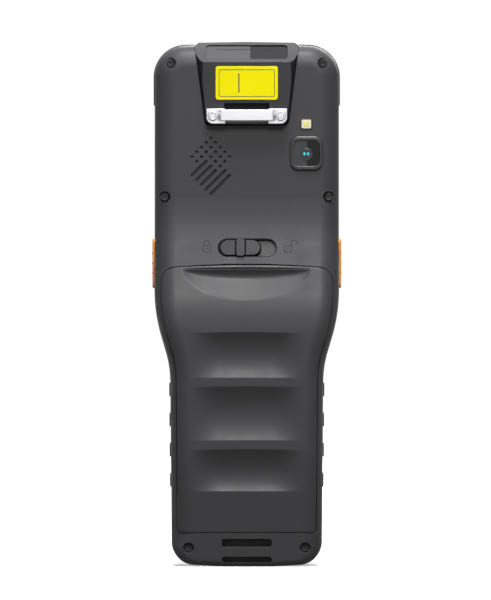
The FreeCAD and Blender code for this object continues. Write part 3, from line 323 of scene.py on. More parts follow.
def make_slab(name: str, middle: Sequence[float], size: Sequence[float],
              levels: Sequence[float]) -> Piece:
    """Adds a block by its face in the XZ plane, in millimetres.

    Args:
        name: Name of the piece.
        middle: Its middle, across and up.
        size: Its size, across and up.
        levels: Its lowest and highest Y.

    Returns:
        The block.
    """
    low, high = ([place + way * length / 2 for place, length in zip(middle, size)] for way in (-1, 1))
    return make_block(name, (low[0], levels[0], low[1]), (high[0], levels[1], high[1]))


def make_disc(name: str, middle: Sequence[float], radius: float, depth: float,
              turn: Sequence[float] = (math.pi / 2, 0, 0), sides: int = 48) -> Piece:
    """Adds a cylinder, in millimetres.

    Args:
        name: Name of the piece.
        middle: Its middle.
        radius: Its radius.
        depth: Its length.
        turn: How it is turned, along Y unless told otherwise.
        sides: How many sides stand for the round.

    Returns:
        The cylinder.
    """
    deselect()
    bpy.ops.mesh.primitive_cylinder_add(vertices=sides, radius=radius * MM, depth=depth * MM,
                                        location=[c * MM for c in middle], rotation=turn)
    piece = bpy.context.object
    piece.name = piece.data.name = name
    return settle(piece)


def apply_modifiers(piece: Piece) -> None:
    """Applies every modifier of a piece in order."""
    activate(piece)
    for modifier in list(piece.modifiers):
        bpy.ops.object.modifier_apply(modifier=modifier.name)


def bevel(piece: Piece, width: float, segments: int = 3, angle: float = 30.0,
          harden: bool = False) -> Piece:
    """Rounds the sharp edges of a piece.

    Args:
        piece: The piece.
        width: Width in millimetres.
        segments: Faces across the rounding.
        angle: Edges sharper than this many degrees are rounded.
        harden: Whether flat faces keep their normals.

    Returns:
        The same piece.
    """
    modifier = piece.modifiers.new("Round", "BEVEL")
    modifier.width, modifier.segments = width * MM, segments
    modifier.limit_method, modifier.angle_limit = "ANGLE", math.radians(angle)
    modifier.harden_normals = harden
    apply_modifiers(piece)
    return piece


def smooth(piece: Piece, angle: float = 30.0, weigh: bool = True) -> Piece:
    """Shades a piece smooth, except across sharp edges.

    Args:
        piece: The piece.
        angle: Edges sharper than this many degrees stay sharp.
        weigh: Whether large faces keep their own normals, so that they look flat.

    Returns:
        The same piece.
    """
    activate(piece)
    bpy.ops.object.shade_smooth_by_angle(angle=math.radians(angle))
    if weigh:
        modifier = piece.modifiers.new("Weigh", "WEIGHTED_NORMAL")
        modifier.keep_sharp = True
        apply_modifiers(piece)
    return piece


class Part(Enum):
    """Which parts of a mesh are picked."""

    EDGE = "edges"
    FACE = "faces"


def select(piece: Piece, part: Part, test: Union[EdgeTest, FaceTest]) -> None:
    """Enters edit mode with only the parts selected that pass a test.

    Args:
        piece: The piece.
        part: Edges or faces.
        test: Says of one of them whether it is selected.
    """
    activate(piece)
    bpy.ops.object.mode_set(mode="EDIT")
    bpy.ops.mesh.select_mode(type=part.name)
    bpy.ops.mesh.select_all(action="DESELECT")
    mesh = bmesh.from_edit_mesh(piece.data)
    for item in getattr(mesh, part.value):
        item.select_set(test(item))
    bmesh.update_edit_mesh(piece.data)


def along(axis: int) -> EdgeTest:
    """A test for edges that run along an axis."""
    return lambda edge: abs((edge.verts[0].co - edge.verts[1].co).normalized()[axis]) > 0.99


def beyond(axis: int, level: float) -> EdgeTest:
    """A test for edges that lie at a level in millimetres or past it."""
    return lambda edge: all(vertex.co[axis] > (level - 0.01) * MM for vertex in edge.verts)


def round_edges(piece: Piece, test: EdgeTest, radius: float, segments: int) -> None:
    """Rounds chosen edges.

    Args:
        piece: The piece.
        test: Says which edges.
        radius: Their radius in millimetres.
        segments: Faces across the rounding.
    """
    select(piece, Part.EDGE, test)
    bpy.ops.mesh.bevel(offset=radius * MM, segments=segments)
    bpy.ops.object.mode_set(mode="OBJECT")


def step_faces(piece: Piece, test: FaceTest, steps: Sequence[Pair]) -> None:
    """Insets chosen faces again and again, each time with a move along Y.

    Args:
        piece: The piece.
        test: Says which faces.
        steps: Width of each inset and how far it then moves, in millimetres.
    """
    select(piece, Part.FACE, test)
    for width, move in steps:
        bpy.ops.mesh.inset(thickness=width * MM)
        bpy.ops.transform.translate(value=(0, move * MM, 0))
    bpy.ops.object.mode_set(mode="OBJECT")


def thin_frame(name: str, middle: Sequence[float], size: Sequence[float], corner: float, line: float,
               levels: Sequence[float]) -> Piece:
    """Makes a thin rounded ring that lies in the XZ plane, in millimetres.

    Args:
        name: Name of the piece.
        middle: Its middle, across and up.
        size: Its outer width and height.
        corner: Its outer corner radius, cut down to just under half a side.
        line: Width of the line.
        levels: Its lowest and highest Y.

    Returns:
        The ring.
    """
    ring = make_slab(name, middle, size, levels)
    round_edges(ring, along(1), min(corner, 0.495 * min(size)), 10)
    select(ring, Part.FACE, lambda face: abs(face.normal.y) > 0.9)
    bpy.ops.mesh.inset(thickness=line * MM)
    bpy.ops.mesh.delete(type="FACE")
    bpy.ops.mesh.select_mode(type="EDGE")
    bpy.ops.mesh.select_all(action="DESELECT")
    bpy.ops.mesh.select_non_manifold()
    bpy.ops.mesh.bridge_edge_loops()
    bpy.ops.mesh.select_all(action="SELECT")
    bpy.ops.mesh.normals_make_consistent(inside=False)
    bpy.ops.object.mode_set(mode="OBJECT")
    return ring


def stepped_disc(name: str, middle: Sequence[float], radius: float, depth: float, edge: float,
                 steps: Sequence[Pair]) -> Piece:
    """Makes a disc that faces -Y, with rings stepped into its face, in millimetres.

    Args:
        name: Name of the piece.
        middle: Middle of the disc.
        radius: Its radius.
        depth: How thick it is.
        edge: Radius of the rounded edge.
        steps: Width of each inset and how far it then moves along Y.

    Returns:
        The disc.
    """
    disc = bevel(make_disc(name, middle, radius, depth), edge, 4)
    step_faces(disc, lambda face: face.normal.y < -0.99 and face.calc_area() > (0.5 * MM) ** 2, steps)
    return disc


def half_ring(middle: Sequence[float], radius: float, thick: float, flat: float, whole: bool) -> Piece:
    """Makes a flattened ring in the XZ plane, or its upper half, in millimetres.

    Args:
        middle: Its middle.
        radius: Radius of its line.
        thick: Width of its line.
        flat: Its depth as a share of its width.
        whole: Whether the lower half stays too.

    Returns:
        The ring.
    """
    across, level, up = (value * MM for value in middle)
    deselect()
    bpy.ops.mesh.primitive_torus_add(location=(across, level, up), rotation=(math.pi / 2, 0, 0),
                                     major_radius=radius * MM, minor_radius=thick / 2 * MM,
                                     major_segments=40 if whole else 32, minor_segments=8)
    ring = settle(bpy.context.object)
    ring.data.transform(Matrix.Translation((0, level, 0)) @ Matrix.Scale(flat, 4, (0, 1, 0))
                        @ Matrix.Translation((0, -level, 0)))
    if not whole:
        select(ring, Part.FACE, lambda face: True)
        bpy.ops.mesh.bisect(plane_co=(0, 0, up), plane_no=(0, 0, 1), clear_inner=True, use_fill=True)
        bpy.ops.object.mode_set(mode="OBJECT")
    return ring


def cut_out(piece: Piece, cutter: Piece) -> Piece:
    """Cuts one piece out of another and removes the cutter.

    Args:
        piece: What is cut.
        cutter: The shape of the cut.

    Returns:
        The first piece.
    """
    cut = piece.modifiers.new("Cut", "BOOLEAN")
    cut.operation, cut.object, cut.solver = "DIFFERENCE", cutter, "EXACT"
    apply_modifiers(piece)
    bpy.data.objects.remove(cutter)
    return piece


class Side(Enum):
    """Which side of the case a piece is on, seen from the rear."""

    LEFT = -1
    RIGHT = 1


def mirrored(piece: Piece, side: Side) -> Piece:
    """Turns a right-hand piece into a left-hand one where its side asks for it.

    Args:
        piece: The right-hand piece.
        side: Its side.

    Returns:
        The same piece.
    """
    if side is Side.LEFT:
        piece.data.transform(Matrix.Scale(-1, 4, (1, 0, 0)))
        piece.data.flip_normals()
    return piece


def copied(pattern: Piece, place: Sequence[float]) -> Piece:
    """Copies a pattern with its own mesh.

    Args:
        pattern: What is copied.
        place: How far the copy is moved, in millimetres.

    Returns:
        The copy.
    """
    mesh = pattern.data.copy()
    mesh.transform(Matrix.Translation(Vector(place) * MM))
    copy = bpy.data.objects.new(pattern.name, mesh)
    bpy.context.scene.collection.objects.link(copy)
    return copy


def second_finish(piece: Piece, finish: Finish, test: Callable[[bpy.types.MeshPolygon], bool]) -> None:
    """Gives some faces another finish.

    Args:
        piece: The piece, dressed in its first finish.
        finish: The other one.
        test: Says which faces get it.
    """
    piece.data.materials.append(finish.build())
    for face in piece.data.polygons:
        if test(face):
            face.material_index = len(piece.data.materials) - 1


def joined(name: str, pieces: Sequence[Piece]) -> Piece:
    """Joins several objects into the first one.

    Args:
        name: Name of the whole.
        pieces: What is joined.

    Returns:
        The first object, which holds them all.
    """
    deselect()
    for piece in pieces:
        piece.select_set(True)
    bpy.context.view_layer.objects.active = pieces[0]
    if len(pieces) > 1:
        bpy.ops.object.join()
    pieces[0].name = pieces[0].data.name = name
    return pieces[0]


def merged_copy(node: str, name: str) -> Piece:
    """Copies a CAD node into a new piece, with its triangles merged and its flat regions made one face each.

    Args:
        node: The CAD node.
        name: Name of the new piece.

    Returns:
        The new piece.
    """
    deselect()
    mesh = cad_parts[node].data.copy()
    mesh.materials.clear()
    piece = bpy.data.objects.new(name, mesh)
    mesh.name = name
    bpy.context.scene.collection.objects.link(piece)
    activate(piece)
    bpy.ops.mesh.customdata_custom_splitnormals_clear()
    bpy.ops.object.mode_set(mode="EDIT")
    bpy.ops.mesh.select_all(action="SELECT")
    bpy.ops.mesh.remove_doubles(threshold=0.002 * MM)
    bpy.ops.mesh.dissolve_limited(angle_limit=math.radians(0.6))
    bpy.ops.object.mode_set(mode="OBJECT")
    return piece


def split_copy(node: str, name: str, across: float) -> Piece:
    """Copies a CAD node as a pane that is cut in two, so that one half can carry a painted reflection.

    Args:
        node: The CAD node.
        name: Name of the new piece.
        across: Where it is cut, in millimetres.

    Returns:
        The new piece.
    """
    panes = merged_copy(node, name)
    select(panes, Part.FACE, lambda face: True)
    bpy.ops.mesh.bisect(plane_co=(across * MM, 0, 0), plane_no=(1, 0, 0))
    bpy.ops.object.mode_set(mode="OBJECT")
    return panes


def hand_over(piece: Piece, finish: Finish, body: str,
              stands_for: Iterable[str] = ()) -> Piece:
    """Dresses a finished piece and ties it to its body.

    Args:
        piece: The piece.
        finish: What it is made of.
        body: The body that it rides on.
        stands_for: CAD nodes that it replaces.

    Returns:
        The same piece.
    """
    piece.data.materials.clear()
    piece.data.materials.append(finish.build())
    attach(piece, body)
    for node in stands_for:
        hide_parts(node)
    LOG.info("%s made, %d faces", piece.name, len(piece.data.polygons))
    return piece


# Pieces


def blended(value: float, corners: Sequence[Point]) -> float:
    """Height of a line through corners that are rounded over a leg on each side.

    Args:
        value: Where on the line.
        corners: Place, height and leg of every corner, in rising order.

    Returns:
        The height there.
    """
    for before, corner, after in zip(corners, corners[1:], corners[2:]):
        if not corner[2]:
            continue
        into = math.hypot(corner[0] - before[0], corner[1] - before[1])
        out = math.hypot(after[0] - corner[0], after[1] - corner[1])
        start = [corner[i] - (corner[i] - before[i]) * corner[2] / into for i in (0, 1)]
        end = [corner[i] + (after[i] - corner[i]) * corner[2] / out for i in (0, 1)]
        if start[0] <= value <= end[0]:
            curve, rise = start[0] - 2 * corner[0] + end[0], 2 * (corner[0] - start[0])
            if abs(curve) < 1e-9:
                share = (value - start[0]) / rise
            else:
                share = (math.sqrt(rise ** 2 - 4 * curve * (start[0] - value)) - rise) / (2 * curve)
            return ((1 - share) ** 2 * start[1] + 2 * share * (1 - share) * corner[1]
                    + share ** 2 * end[1])
    for before, after in zip(corners, corners[1:]):
        if before[0] <= value <= after[0]:
            share = (value - before[0]) / (after[0] - before[0])
            return before[1] + (after[1] - before[1]) * share
    return corners[0][1] if value < corners[0][0] else corners[-1][1]


def eased(value: float, low: float, high: float) -> float:
    """A smooth step from zero at low to one at high."""
    share = min(max((value - low) / (high - low), 0.0), 1.0)
    return share * share * (3 - 2 * share)


def sunk_edge(distance: float, radius: float) -> float:
    """How far a rounded edge drops at a distance inside it.

    Args:
        distance: How far inside the edge, in millimetres.
        radius: The edge's radius.

    Returns:
        The drop, zero past the radius.
    """
    if distance >= radius:
        return 0.0
    return radius - math.sqrt(max(radius ** 2 - (radius - max(distance, 0.0)) ** 2, 0.0))


@dataclass
class CaseForm:
    """The outer form of the case, as the solids have it, in millimetres."""

    # Height, half width and the leg of the rounding at every corner of the outline
    outline: tuple[Point, ...] = (
        (1.1, 28.65, 0.0), (76.2, 29.2, 5.79), (96.5, 35.2, 9.26), (200.0, 35.2, 0.0))
    # Height, depth behind the middle and the leg of the rounding at every corner of the profile
    profile: tuple[Point, ...] = (
        (0.0, 12.2, 0.0), (40.0, 16.2, 7.02), (84.0, 17.5, 1.77), (96.0, 17.5, 7.39),
        (132.0, 8.5, 8.62), (200.0, 8.5, 0.0))
    edge_radius: float = 8.0

    def rear(self, across: float, height: float) -> float:
        """Finds the rear surface.

        Args:
            across: Where across, from the middle.
            height: How high.

        Returns:
            The Y of the surface there.
        """
        half = blended(height, self.outline)
        lean = blended(height + 0.5, self.outline) - blended(height - 0.5, self.outline)
        inside = (half - abs(across)) / math.hypot(1.0, lean)
        return -(blended(height, self.profile) - sunk_edge(inside, self.edge_radius))


@dataclass
class BatteryCover:
    """The moulded cover with its thumb scoop, finger grooves, hooks and keeper."""

    form: CaseForm
    # Height, half width and the leg of the rounding, as in the case's outline
    outline: tuple[Point, ...] = (
        (12.85, 26.42, 0.0), (76.53, 26.9, 6.12), (96.83, 32.7, 8.93), (116.0, 32.7, 0.0))
    low: float = 12.9
    low_radius: float = 1.9
    crown: float = 115.0
    arch_radius: float = 340.0
    top_radius: float = 5.5
    wall: float = 1.6
    rim_radius: float = 0.45
    lip_radius: float = 0.95
    scoop_top: float = 113.3
    scoop_half: float = 23.9
    scoop_height: float = 11.7
    scoop_depth: float = 2.0
    scoop_ramp: float = 2.9
    scoop_leg: float = 1.6
    # Lower and upper edge of every finger groove
    grooves: tuple[Pair, ...] = ((72.0, 89.3), (48.2, 68.7), (28.8, 44.8))
    groove_depth: float = 1.9
    groove_full: float = 9.0
    groove_end: float = 23.5
    bow: float = 0.5
    bow_reach: float = 2.5
    # The grid of the skin: its pitch, and closer lines at the rim, at crisp edges and up the lip
    pitch: float = 0.55
    grid_half: float = 30.0
    crisp: float = 0.12
    low_border: tuple[float, ...] = (0.0, 0.05, 0.12, 0.22, 0.36)
    border: tuple[float, ...] = (0.0, 0.05, 0.13, 0.24, 0.38)
    inner: float = 0.6
    lip: tuple[float, ...] = (0.04, 0.12, 0.22, 0.36, 0.5, 0.64, 0.78, 0.88, 0.95, 1.0)
    corner_across: float = 25.0
    tray_low: Point = (-24.4, -15.4, 17.4)
    tray_high: Point = (24.4, -12.3, 101.6)
    tray_toe: float = -13.1
    keeper_low: Point = (-9.0, -9.2, 112.4)
    keeper_high: Point = (9.0, -8.0, 114.8)
    hinge: Pair = (-13.485, 12.85)
    hook_across: float = 14.0
    hook_radius: float = 3.2
    hook_size: Pair = (6.0, 1.4)
    hook_start: float = -25.0
    hook_turn: float = 93.0

    def top(self, across: float) -> float:
        """Height of the arched upper edge."""
        return self.crown - across ** 2 / (2 * self.arch_radius)

    def half(self, height: float, below_top: float) -> float:
        """Half the cover's width at a height, drawn in at the rounded corners."""
        corner = sunk_edge(below_top, self.top_radius) + sunk_edge(height - self.low, self.low_radius)
        return blended(height, self.outline) - corner

    def dip(self, across: float, height: float) -> float:
        """Finds how deep the scoop and the grooves are.

        Args:
            across: Where across, from the middle.
            height: How high.

        Returns:
            The depth there.
        """
        deep = 0.0
        width = math.sqrt(max(1 - (across / self.scoop_half) ** 2, 0.0))
        below = self.scoop_top - height
        if width > 0.02 and 0 < below < self.scoop_height * width:
            fall = ((0.0, 0.0, 0.0), (self.scoop_ramp, self.scoop_depth, self.scoop_leg),
                    (self.scoop_height, 0.0, 0.0))
            deep = width * blended(below / width, fall)
        fade = 1 - eased(abs(across), self.groove_full, self.groove_end)
        for low, high in self.grooves:
            offset = (height - (low + high) / 2) / ((high - low) / 2)
            if abs(offset) < 1:
                deep = max(deep, self.groove_depth * (1 - offset ** 2) * fade)
        return deep

    def rows(self) -> list[float]:
        """Heights of the grid's rows below the lip, close together at crisp edges."""
        edges = [self.low] + [edge for pair in reversed(self.grooves) for edge in pair] + [self.scoop_top]
        heights = []
        for start, end in zip(edges, edges[1:]):
            steps = max(int((end - start) / self.pitch), 2)
            run = [start + (end - start) * step / steps for step in range(steps)]
            heights += run[:1] + [start + self.crisp] + run[1:] + [end - self.crisp]
        border = [self.low + off for off in self.low_border]
        return border + [height for height in heights if height > border[-1] + 0.1]

    def columns(self) -> list[Pair]:
        """Share of the half width and distance from the border of every column."""
        count = int(2 * self.grid_half / self.pitch)
        inner = [(-1 + 2 * step / count, self.inner) for step in range(count + 1)]
        return [(-1.0, off) for off in self.border] + inner + [(1.0, off) for off in reversed(self.border)]

    def skin(self) -> Piece:
        """The outer skin, raised from a grid that is given its wall and rim."""
        columns = self.columns()
        rows = [(height, 0.0) for height in self.rows()] + [(self.scoop_top, part) for part in self.lip]
        deselect()
        bpy.ops.mesh.primitive_grid_add(x_subdivisions=len(columns) - 1, y_subdivisions=len(rows) - 1, size=1)
        piece = bpy.context.object
        piece.name = piece.data.name = "battery_cover_skin"
        points = [self.point(height, part, share, off) for height, part in rows for share, off in columns]
        for vertex, point in zip(piece.data.vertices, points):
            vertex.co = Vector(point) * MM
        solid = piece.modifiers.new("Wall", "SOLIDIFY")
        solid.thickness, solid.offset = self.wall * MM, -1.0
        apply_modifiers(piece)
        return smooth(piece, 38.0, False)

    def point(self, height: float, part: float, share: float, off: float) -> Point:
        """Places one point of the skin.

        Args:
            height: How high, or the foot of the lip.
            part: How far up the lip, from zero below it to one at its edge.
            share: Where across, as a share of the half width.
            off: How far from the border.

        Returns:
            The point, in millimetres.
        """
        across = share * (self.half(height, self.top(self.corner_across) - height) - off)
        if part:
            height = self.lip_height(part, across)
            across = share * (self.half(height, self.top(across) - height) - off)
            height = self.lip_height(part, across)
        near = min(off if off < self.inner else math.inf, height - self.low, self.top(across) - height + 1e-6)
        sink = sunk_edge(near, self.rim_radius)
        if not part:
            sink += self.dip(across, height)
        elif abs(across) < self.scoop_half:
            fade = 1 - (across / self.scoop_half) ** 2
            bead = min(height - self.scoop_top, self.top(across) - height)
            sink = max(sink, sunk_edge(bead, self.lip_radius) * math.sqrt(fade))
        if not part:
            warp = sum(math.exp(-((height - high) / self.bow_reach) ** 2) for _, high in self.grooves)
            bent = height - self.bow * warp * min(abs(across) / self.groove_end, 1.0) ** 2
            return across, self.form.rear(across, bent) + sink, bent
        return across, self.form.rear(across, height) + sink, height

    def lip_height(self, part: float, across: float) -> float:
        """How high a share of the lip is at a place across."""
        return self.scoop_top + part * (self.top(across) - self.scoop_top)

    def inner_parts(self) -> Piece:
        """The tray that carries the cells, the keeper and the two hooks."""
        tray = make_block("tray", self.tray_low, self.tray_high)
        for vertex in tray.data.vertices:
            if vertex.co.y < self.tray_toe * MM and vertex.co.z < (self.tray_low[2] + 1.0) * MM:
                vertex.co.y = self.tray_toe * MM
        bevel(tray, 0.5, 2)
        keeper = bevel(make_block("keeper", self.keeper_low, self.keeper_high), 0.3, 2)
        return joined("battery_cover_inner", [tray, keeper] + [self.hook(side) for side in Side])

    def hook(self, side: Side) -> Piece:
        """Makes a round hook, spun about the hinge line.

        Args:
            side: Which of the two.

        Returns:
            The hook.
        """
        hinge = Vector((0.0, *self.hinge)) * MM
        across, up = side.value * self.hook_across * MM, (self.hinge[1] + self.hook_radius) * MM
        deselect()
        bpy.ops.mesh.primitive_plane_add(size=1, rotation=(math.pi / 2, 0, 0))
        piece = settle(bpy.context.object)
        piece.data.transform(Matrix.Translation(hinge) @ Matrix.Rotation(math.radians(self.hook_start), 4, "X")
                             @ Matrix.Translation((across, 0.0, up - hinge.z))
                             @ Matrix.Diagonal((self.hook_size[0] * MM, 1.0, self.hook_size[1] * MM, 1.0)))
        select(piece, Part.FACE, lambda face: True)
        bpy.ops.mesh.spin(steps=14, angle=math.radians(self.hook_turn), center=hinge, axis=(1, 0, 0))
        bpy.ops.mesh.select_all(action="SELECT")
        bpy.ops.mesh.remove_doubles(threshold=0.001 * MM)
        bpy.ops.mesh.normals_make_consistent(inside=False)
        bpy.ops.object.mode_set(mode="OBJECT")
        return bevel(piece, 0.2, 2, 40.0)

    def build(self) -> None:
        """Makes the cover and hands it over."""
        hand_over(self.skin(), COVER_PLASTIC, "battery", ["battery_cover"])
        hand_over(smooth(self.inner_parts()), COVER_PLASTIC, "battery")


@dataclass
class SideKeys:
    """The two orange side keys with three ribs to feel."""

    outer: float = 36.0
    inner: float = 32.4
    half: float = 3.8
    low: float = 106.1
    high: float = 125.1
    corner: float = 1.6
    edge: float = 0.55
    rib_radius: float = 0.44
    rib_length: float = 5.2
    rib_pitch: float = 3.7

    def build(self) -> None:
        """Makes both keys and hands them over."""
        for side in Side:
            node = "side_key_" + side.name.lower()
            key = make_block(node, (self.inner, -self.half, self.low), (self.outer, self.half, self.high))
            round_edges(key, along(0), self.corner, 6)
            round_edges(key, beyond(0, self.outer), self.edge, 4)
            parts = [key]
            for step in (-1, 0, 1):
                middle = (self.low + self.high) / 2 + step * self.rib_pitch
                rib = make_disc("rib", (self.outer - self.rib_radius / 2, 0.0, middle), self.rib_radius,
                                self.rib_length, sides=20)
                parts.append(bevel(rib, 0.2, 3))
            key = mirrored(joined(key.name + "_rubber", parts), side)
            hand_over(smooth(key), ORANGE_RUBBER, node, [node])


@dataclass
class SoftenedNodes:
    """Copies of CAD nodes whose sharp edges get a small moulded or pressed radius."""

    # Width of the rounding, finish, body and material slot of every node
    edges: dict[str, tuple[float, Finish, str, str]]

    def build(self) -> None:
        """Makes each copy, rounds it and hands it over."""
        for node, (width, finish, body, slot) in self.edges.items():
            piece = bevel(merged_copy(node, node + "_softened"), width, 3, 32.0)
            hand_over(smooth(piece, 30.0), finish, body, [node])


@dataclass
class CaseScrews:
    """The case screws, each with a hexagonal socket, seen at the bottom of their recesses."""

    places: tuple[Point, ...] = (
        (29.1, -5.6, 191.8), (31.2, -6.4, 140.8), (22.2, -10.2, 7.2))
    radius: float = 1.42
    height: float = 1.1
    edge: float = 0.2
    rings: tuple[Pair, ...] = ((0.22, 0.08), (0.08, 0.0))
    socket: float = 0.62
    socket_depth: float = 0.7
    shank: float = 0.85
    length: float = 5.0

    def build(self) -> None:
        """Makes one screw, copies it to its places and hands them over."""
        head = stepped_disc("case_screw", (0, -self.height / 2, 0), self.radius, self.height, self.edge, self.rings)
        head = cut_out(head, make_disc("socket", (0, -self.height, 0), self.socket, self.socket_depth, sides=6))
        shank = make_disc("shank", (0, self.length / 2, 0), self.shank, self.length, sides=20)
        pattern = joined("case_screw", [head, shank])
        copies = [copied(pattern, (across * side.value, rear, up)) for across, rear, up in self.places
                  for side in Side]
        bpy.data.objects.remove(pattern)
        hand_over(smooth(joined("case_screw_heads", copies)), BLACK_STEEL, "case", ["case_screws"])


@dataclass
class StrapBracket:
    """The pressed bracket: two screwed ears and the raised bar that is folded down onto them."""

    face: float = -11.5
    sheet: float = 0.8
    ear_inner: float = 8.2
    ear_outer: float = 15.3
    low: float = 168.6
    high: float = 174.3
    corner: float = 2.4
    bar_half: float = 9.9
    bar_low: float = 169.8
    bar_high: float = 173.9
    lift: float = 1.0
    screw: Pair = (12.9, 171.7)
    head_radius: float = 1.85
    head: float = 0.8
    cross: Pair = (1.7, 0.2)
    shank_radius: float = 0.85
    shank: float = 3.0
    # Radius, width and half the depth of a shadow line
    ear_ring: Point = (2.0, 0.15, 0.03)
    head_ring: Point = (1.15, 0.12, 0.02)
    fold: float = 0.16

    def ear(self, side: Side) -> Piece:
        """Makes one flat ear with its rounded outer corner.

        Args:
            side: Which of the two.

        Returns:
            The ear.
        """
        ear = make_block("ear", (self.ear_inner, self.face - self.sheet, self.low),
                         (self.ear_outer, self.face, self.high))
        outer = beyond(0, self.ear_outer)
        low = (self.low + 0.01) * MM
        round_edges(ear, lambda edge: outer(edge) and all(v.co.z < low for v in edge.verts), self.corner, 10)
        return mirrored(bevel(ear, 0.14, 3, harden=True), side)

    def bar(self) -> Piece:
        """The strap's bar, with both ends folded down."""
        bar = make_block("bar", (-self.bar_half, self.face - self.lift - self.sheet, self.bar_low),
                         (self.bar_half, self.face - self.lift, self.bar_high))
        for side in Side:
            select(bar, Part.FACE, lambda face: face.normal.x * side.value > 0.99)
            bpy.ops.mesh.extrude_region_move(
                TRANSFORM_OT_translate={"value": (side.value * self.lift * MM, self.lift * MM, 0)})
            bpy.ops.object.mode_set(mode="OBJECT")
        return bevel(bar, 0.12, 3, 20.0, True)

    def screw_of(self, side: Side) -> Piece:
        """Makes a flat screw with a ring and a fine cross in its head.

        Args:
            side: Whose ear it holds.

        Returns:
            The screw.
        """
        (across, up), level = self.screw, self.face - self.sheet - self.head / 2
        head = stepped_disc("head", (across, level, up), self.head_radius, self.head, 0.2,
                            ((0.4, 0.0), (0.1, 0.1), (0.1, -0.1)))
        for size in (self.cross, self.cross[::-1]):
            head = cut_out(head, make_slab("cutter", self.screw, size, (level - 0.6, level - 0.32)))
        shank = make_disc("shank", (across, self.face + self.shank / 2, up), self.shank_radius, self.shank, sides=20)
        return mirrored(joined("screw", [head, shank]), side)

    def lines(self, side: Side) -> list[Piece]:
        """Makes the shadow lines round a screw and at the bar's fold.

        Args:
            side: Which side of the bracket.

        Returns:
            Two rings and a line.
        """
        middle, ear = (side.value * self.screw[0], self.screw[1]), self.face - self.sheet
        rings = []
        for (radius, width, depth), level in ((self.ear_ring, ear), (self.head_ring, ear - self.head)):
            rings.append(thin_frame("ring", middle, (2 * radius, 2 * radius), radius, width,
                                    (level - depth, level + depth)))
        end = (side.value * (self.bar_half + 0.1), (self.bar_low + self.bar_high) / 2)
        size = (self.fold, self.bar_high - self.bar_low - 0.4)
        return rings + [make_slab("fold", end, size, (ear - self.lift + 0.05, ear - self.lift + 0.5))]

    def build(self) -> None:
        """Makes the bracket and its screws."""
        bracket = joined("strap_bracket_sheet", [self.bar()] + [self.ear(side) for side in Side])
        hand_over(smooth(bracket), POLISHED_STEEL, "case", ["strap_bracket"])
        screws = joined("bracket_screw_heads", [self.screw_of(side) for side in Side])
        hand_over(smooth(screws), POLISHED_STEEL, "case", ["strap_bracket_screws"])
        # Painted shadow lines round the screws and at the bar's folds
        lines = joined("bracket_lines", [line for side in Side for line in self.lines(side)])
        hand_over(smooth(lines), PAINTED_SHADE_STEEL, "case")


@dataclass
class ScanHead:
    """The scan cap, whose steep side walls widen towards the window and carry painted shade, and the window in it, with
    a painted reflection on its left half.
    """

    # Height of a corner of the cap's face and how far it is drawn in
    lower_corner: Pair = (192.1, 1.0)
    upper_corner: Pair = (199.7, 0.5)
    corner_across: float = 17.4
    corner_rear: float = -4.0
    face_rear: float = -11.4
    ridge_rear: float = -4.28
    split: float = 1.3
    slot_half: float = 11.9
    slot_middle: Point = (0.2, -6.2, 197.06)
    slot_wide: float = 0.22
    slot_thick: float = 0.06
    window_rise: Pair = (5.22, 5.5)

    def cap(self) -> Piece:
        """The cap with the corners of its face drawn in, which widens the walls."""
        cap = merged_copy("scan_cap", "scan_cap_softened")
        for vertex in cap.data.vertices:
            across, rear, up = vertex.co / MM
            outer = abs(across) > self.corner_across and rear < self.corner_rear
            on_face = rear < self.face_rear or abs(rear - self.ridge_rear) < 0.1
            for height, move in (self.lower_corner, self.upper_corner):
                if abs(up - height) < 0.08 and outer and on_face:
                    vertex.co.x -= math.copysign(move * MM, vertex.co.x)
        return smooth(bevel(cap, 0.22, 3, 25.0), 30.0)

    def slot(self) -> Piece:
        """A fine dark line along the window, laid on its slope."""
        slot = make_slab("scan_window_line", (0.0, 0.0), (2 * self.slot_half, self.slot_wide),
                         (-self.slot_thick / 2, self.slot_thick / 2))
        slope = Matrix.Rotation(-math.atan2(*self.window_rise), 4, "X")
        slot.data.transform(Matrix.Translation(Vector(self.slot_middle) * MM) @ slope)
        return bevel(slot, 0.02, 2)

    def build(self) -> None:
        """Makes the cap, the window and its line."""
        cap = hand_over(self.cap(), CAP_PLASTIC, "case", ["scan_cap"])
        # The cap's steep side walls get painted shade
        second_finish(cap, PAINTED_SHADE_PLASTIC, lambda face: abs(face.normal.x) > 0.4)
        window = split_copy("scan_window", "scan_window_panes", self.split)
        hand_over(window, SMOKED_GLASS, "case", ["scan_window"])
        # The window's left half gets a painted reflection
        second_finish(window, REFLECTION_PAINTED_SMOKED_GLASS, lambda face: face.center.x < self.split * MM)
        hand_over(self.slot(), BLACK_PLASTIC, "case")


